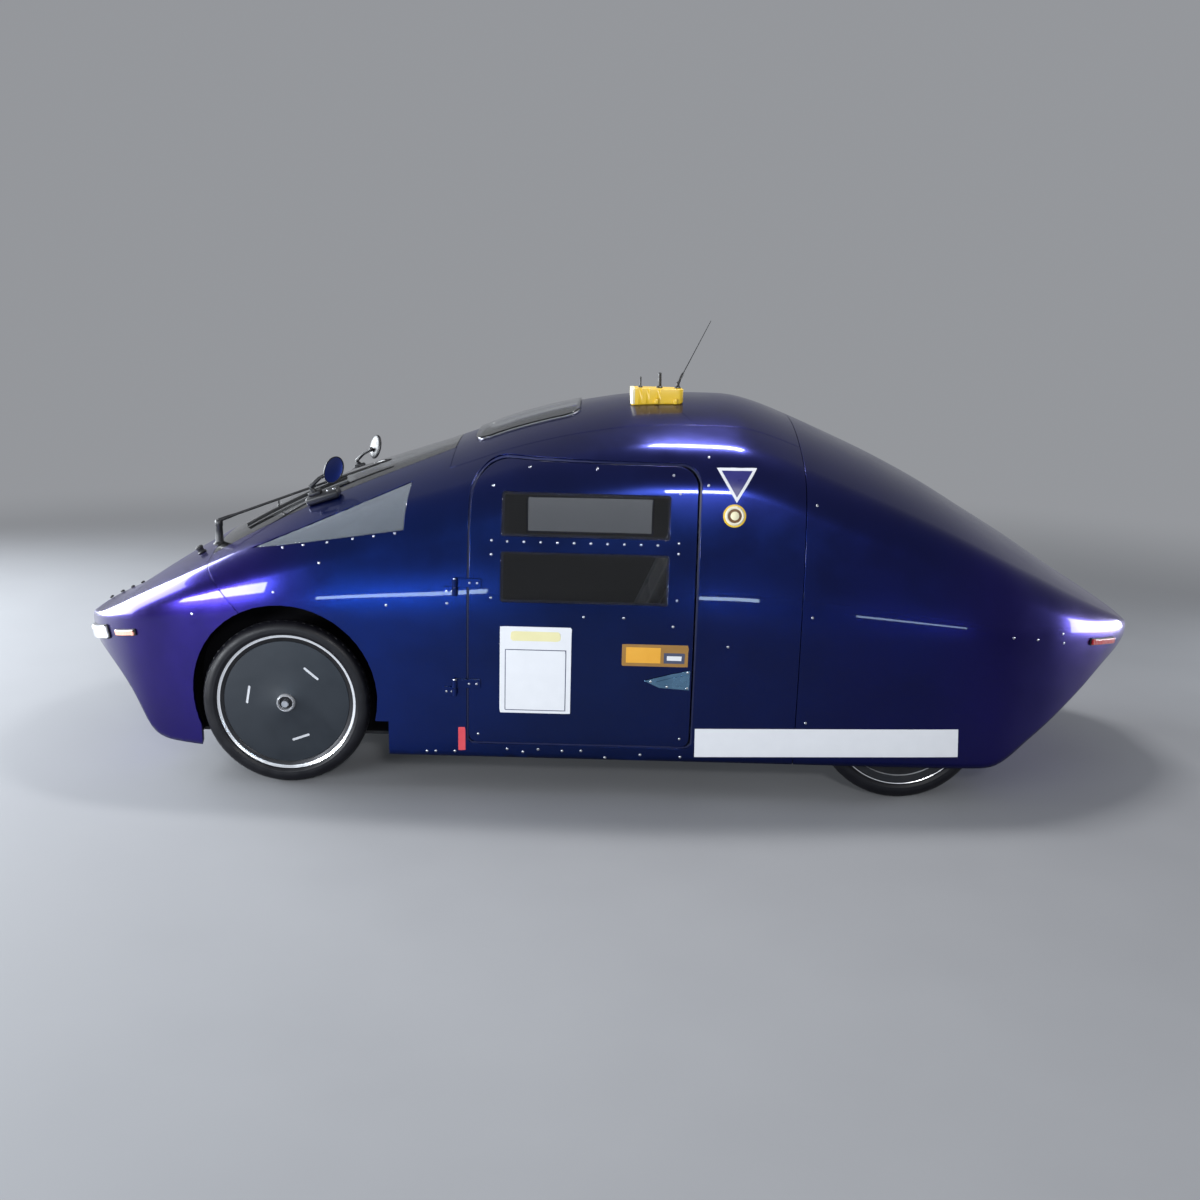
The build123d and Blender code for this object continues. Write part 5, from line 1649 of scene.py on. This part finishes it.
# Running gear: painted steel axle beams, plated knuckles, tie rod and steering column, and one grey
# cast casing for the drive. The beams and the casing are bolted up under the floor and the tail.
beam_paint = finish(
    "beam_paint", (0.020, 0.021, 0.024), (0.036, 0.037, 0.041), 45, (0.40, 0.56), 0.0001, 320
)
plated = finish(
    "plated_steel", (0.36, 0.37, 0.40), (0.52, 0.53, 0.56), 55, (0.28, 0.46), 0.00006, 500, Metallic=1.0
)
casing = finish(
    "drive_casing", (0.13, 0.14, 0.15), (0.20, 0.21, 0.22), 30, (0.42, 0.58), 0.0003, 260, Metallic=0.3
)
dress(beam_paint, "front_axle_beam", "rear_axle_beam")
dress(plated, "knuckle_left", "knuckle_right", "tie_rod", "steering_column")
dress(casing, "drive_unit")

# Camera: at the photograph's own place, 4.1 m to the left of the vehicle and 1.39 m above the
# floor. It looks down by its pitch and is rolled a little.
CAMERA_PLACE = (-0.03, -4.14, 1.39)
CAMERA_PITCH = 12.66
CAMERA_ROLL = 1.5
CAMERA_LENS = 37.7
camera = bpy.data.objects.new("camera", bpy.data.cameras.new("camera"))
bpy.context.scene.collection.objects.link(camera)
camera.data.lens = CAMERA_LENS
camera.data.sensor_width = 36
turn = Matrix.Rotation(radians(90 - CAMERA_PITCH), 4, "X") @ Matrix.Rotation(radians(CAMERA_ROLL), 4, "Z")
camera.matrix_world = Matrix.Translation(CAMERA_PLACE) @ turn
bpy.context.scene.camera = camera
bpy.context.scene.view_settings.view_transform = "Standard"

# Studio floor: a grey floor that takes the vehicle's shadow. Further out it fades into the even
# grey of the surround, for what the camera sees directly, mirrored or through glass.
SURROUND = (0.30, 0.31, 0.33)
FLOOR_FADE = (2.2, 7.0)
world = bpy.data.worlds.new("studio")
bpy.context.scene.world = world
world.use_nodes = True
world.node_tree.nodes["Background"].inputs["Color"].default_value = (*SURROUND, 1)

bm = bmesh.new()
bmesh.ops.create_grid(bm, x_segments=1, y_segments=1, size=40)
floor_mesh = bpy.data.meshes.new("studio_floor")
bm.to_mesh(floor_mesh)
bm.free()
floor = bpy.data.objects.new("studio_floor", floor_mesh)
bpy.context.scene.collection.objects.link(floor)
floor_paint = finish(
    "studio_floor", (0.29, 0.295, 0.31), (0.32, 0.325, 0.34), 3, (0.7, 0.8), Specular_IOR_Level=0.2
)
tree = floor_paint.node_tree
reach = add_node(
    tree, "VectorMath", {"operation": "LENGTH"},
    Vector=tree.nodes["Texture Coordinate"].outputs["Object"],
)
fade = add_node(
    tree, "MapRange", {"interpolation_type": "SMOOTHSTEP"}, Value=reach.outputs["Value"],
    From_Min=FLOOR_FADE[0], From_Max=FLOOR_FADE[1],
)


def combined(operation, first, second):
    """The output of a Math node on two others' outputs."""
    node = add_node(tree, "Math", {"operation": operation})
    tree.links.new(first, node.inputs[0])
    tree.links.new(second, node.inputs[1])
    return node.outputs["Value"]


rays = add_node(tree, "LightPath").outputs
seen = combined("MAXIMUM", rays["Is Camera Ray"], rays["Is Glossy Ray"])
seen = combined("MAXIMUM", seen, rays["Is Transmission Ray"])
far_tone = add_node(tree, "Emission", Color=(*SURROUND, 1))
blend = add_node(tree, "MixShader", Fac=combined("MULTIPLY", fade.outputs["Result"], seen))
tree.links.new(tree.nodes["Principled BSDF"].outputs["BSDF"], blend.inputs[1])
tree.links.new(far_tone.outputs["Emission"], blend.inputs[2])
tree.links.new(blend.outputs["Shader"], tree.nodes["Material Output"].inputs["Surface"])
floor_mesh.materials.append(floor_paint)

# Studio lamps: rectangular soft lamps. Each makes one highlight of the photograph, on the hood, the
# fender, the belt in three lengths, the tail and the crown. The last one fills the left side.
LAMP_SPREAD = 130
COOL = (0.90, 0.95, 1.0)
BLUE = (0.60, 0.80, 1.0)
WHITE = (1, 1, 1)


def soft_lamp(name, place, target, size, radiance, colour):
    """A rectangular soft lamp that points at a target, as bright as its radiance says."""
    data = bpy.data.lights.new(name, "AREA")
    data.shape = "RECTANGLE"
    data.size, data.size_y = size
    data.energy = radiance * pi * size[0] * size[1]
    data.color = colour
    data.spread = radians(LAMP_SPREAD)
    lamp = bpy.data.objects.new(name, data)
    bpy.context.scene.collection.objects.link(lamp)
    lamp.location = place
    lamp.rotation_mode = "QUATERNION"
    lamp.rotation_quaternion = (Vector(target) - Vector(place)).to_track_quat("-Z", "Y")


soft_lamp("hood_panel", (-5.2, 1.2, 1.6), (-1.3, -0.4, 0.6), (4.4, 3.0), 9, COOL)
soft_lamp("fender_strip", (-3.9, -3.5, 0.80), (-1.15, -0.6, 0.57), (2.8, 0.40), 27, COOL)
soft_lamp("belt_strip_front", (-1.25, -4.2, 0.30), (-0.6, -0.6, 0.60), (1.1, 0.08), 16, BLUE)
soft_lamp("belt_strip_middle", (0.72, -4.2, 0.19), (0.35, -0.6, 0.60), (0.36, 0.05), 15, BLUE)
soft_lamp("belt_strip_rear", (1.75, -3.6, 0.15), (0.9, -0.6, 0.55), (0.8, 0.03), 10, BLUE)
soft_lamp("tail_panel", (4.5, 0.6, 0.2), (1.5, -0.4, 0.50), (2.6, 0.9), 13, COOL)
soft_lamp("overhead_strip", (0.50, 0.25, 3.2), (0.3, -0.3, 1.0), (0.9, 0.28), 40, WHITE)
soft_lamp("front_fill", (0.65, -5.4, 2.5), (0, 0, 0.6), (0.6, 0.45), 40, WHITE)
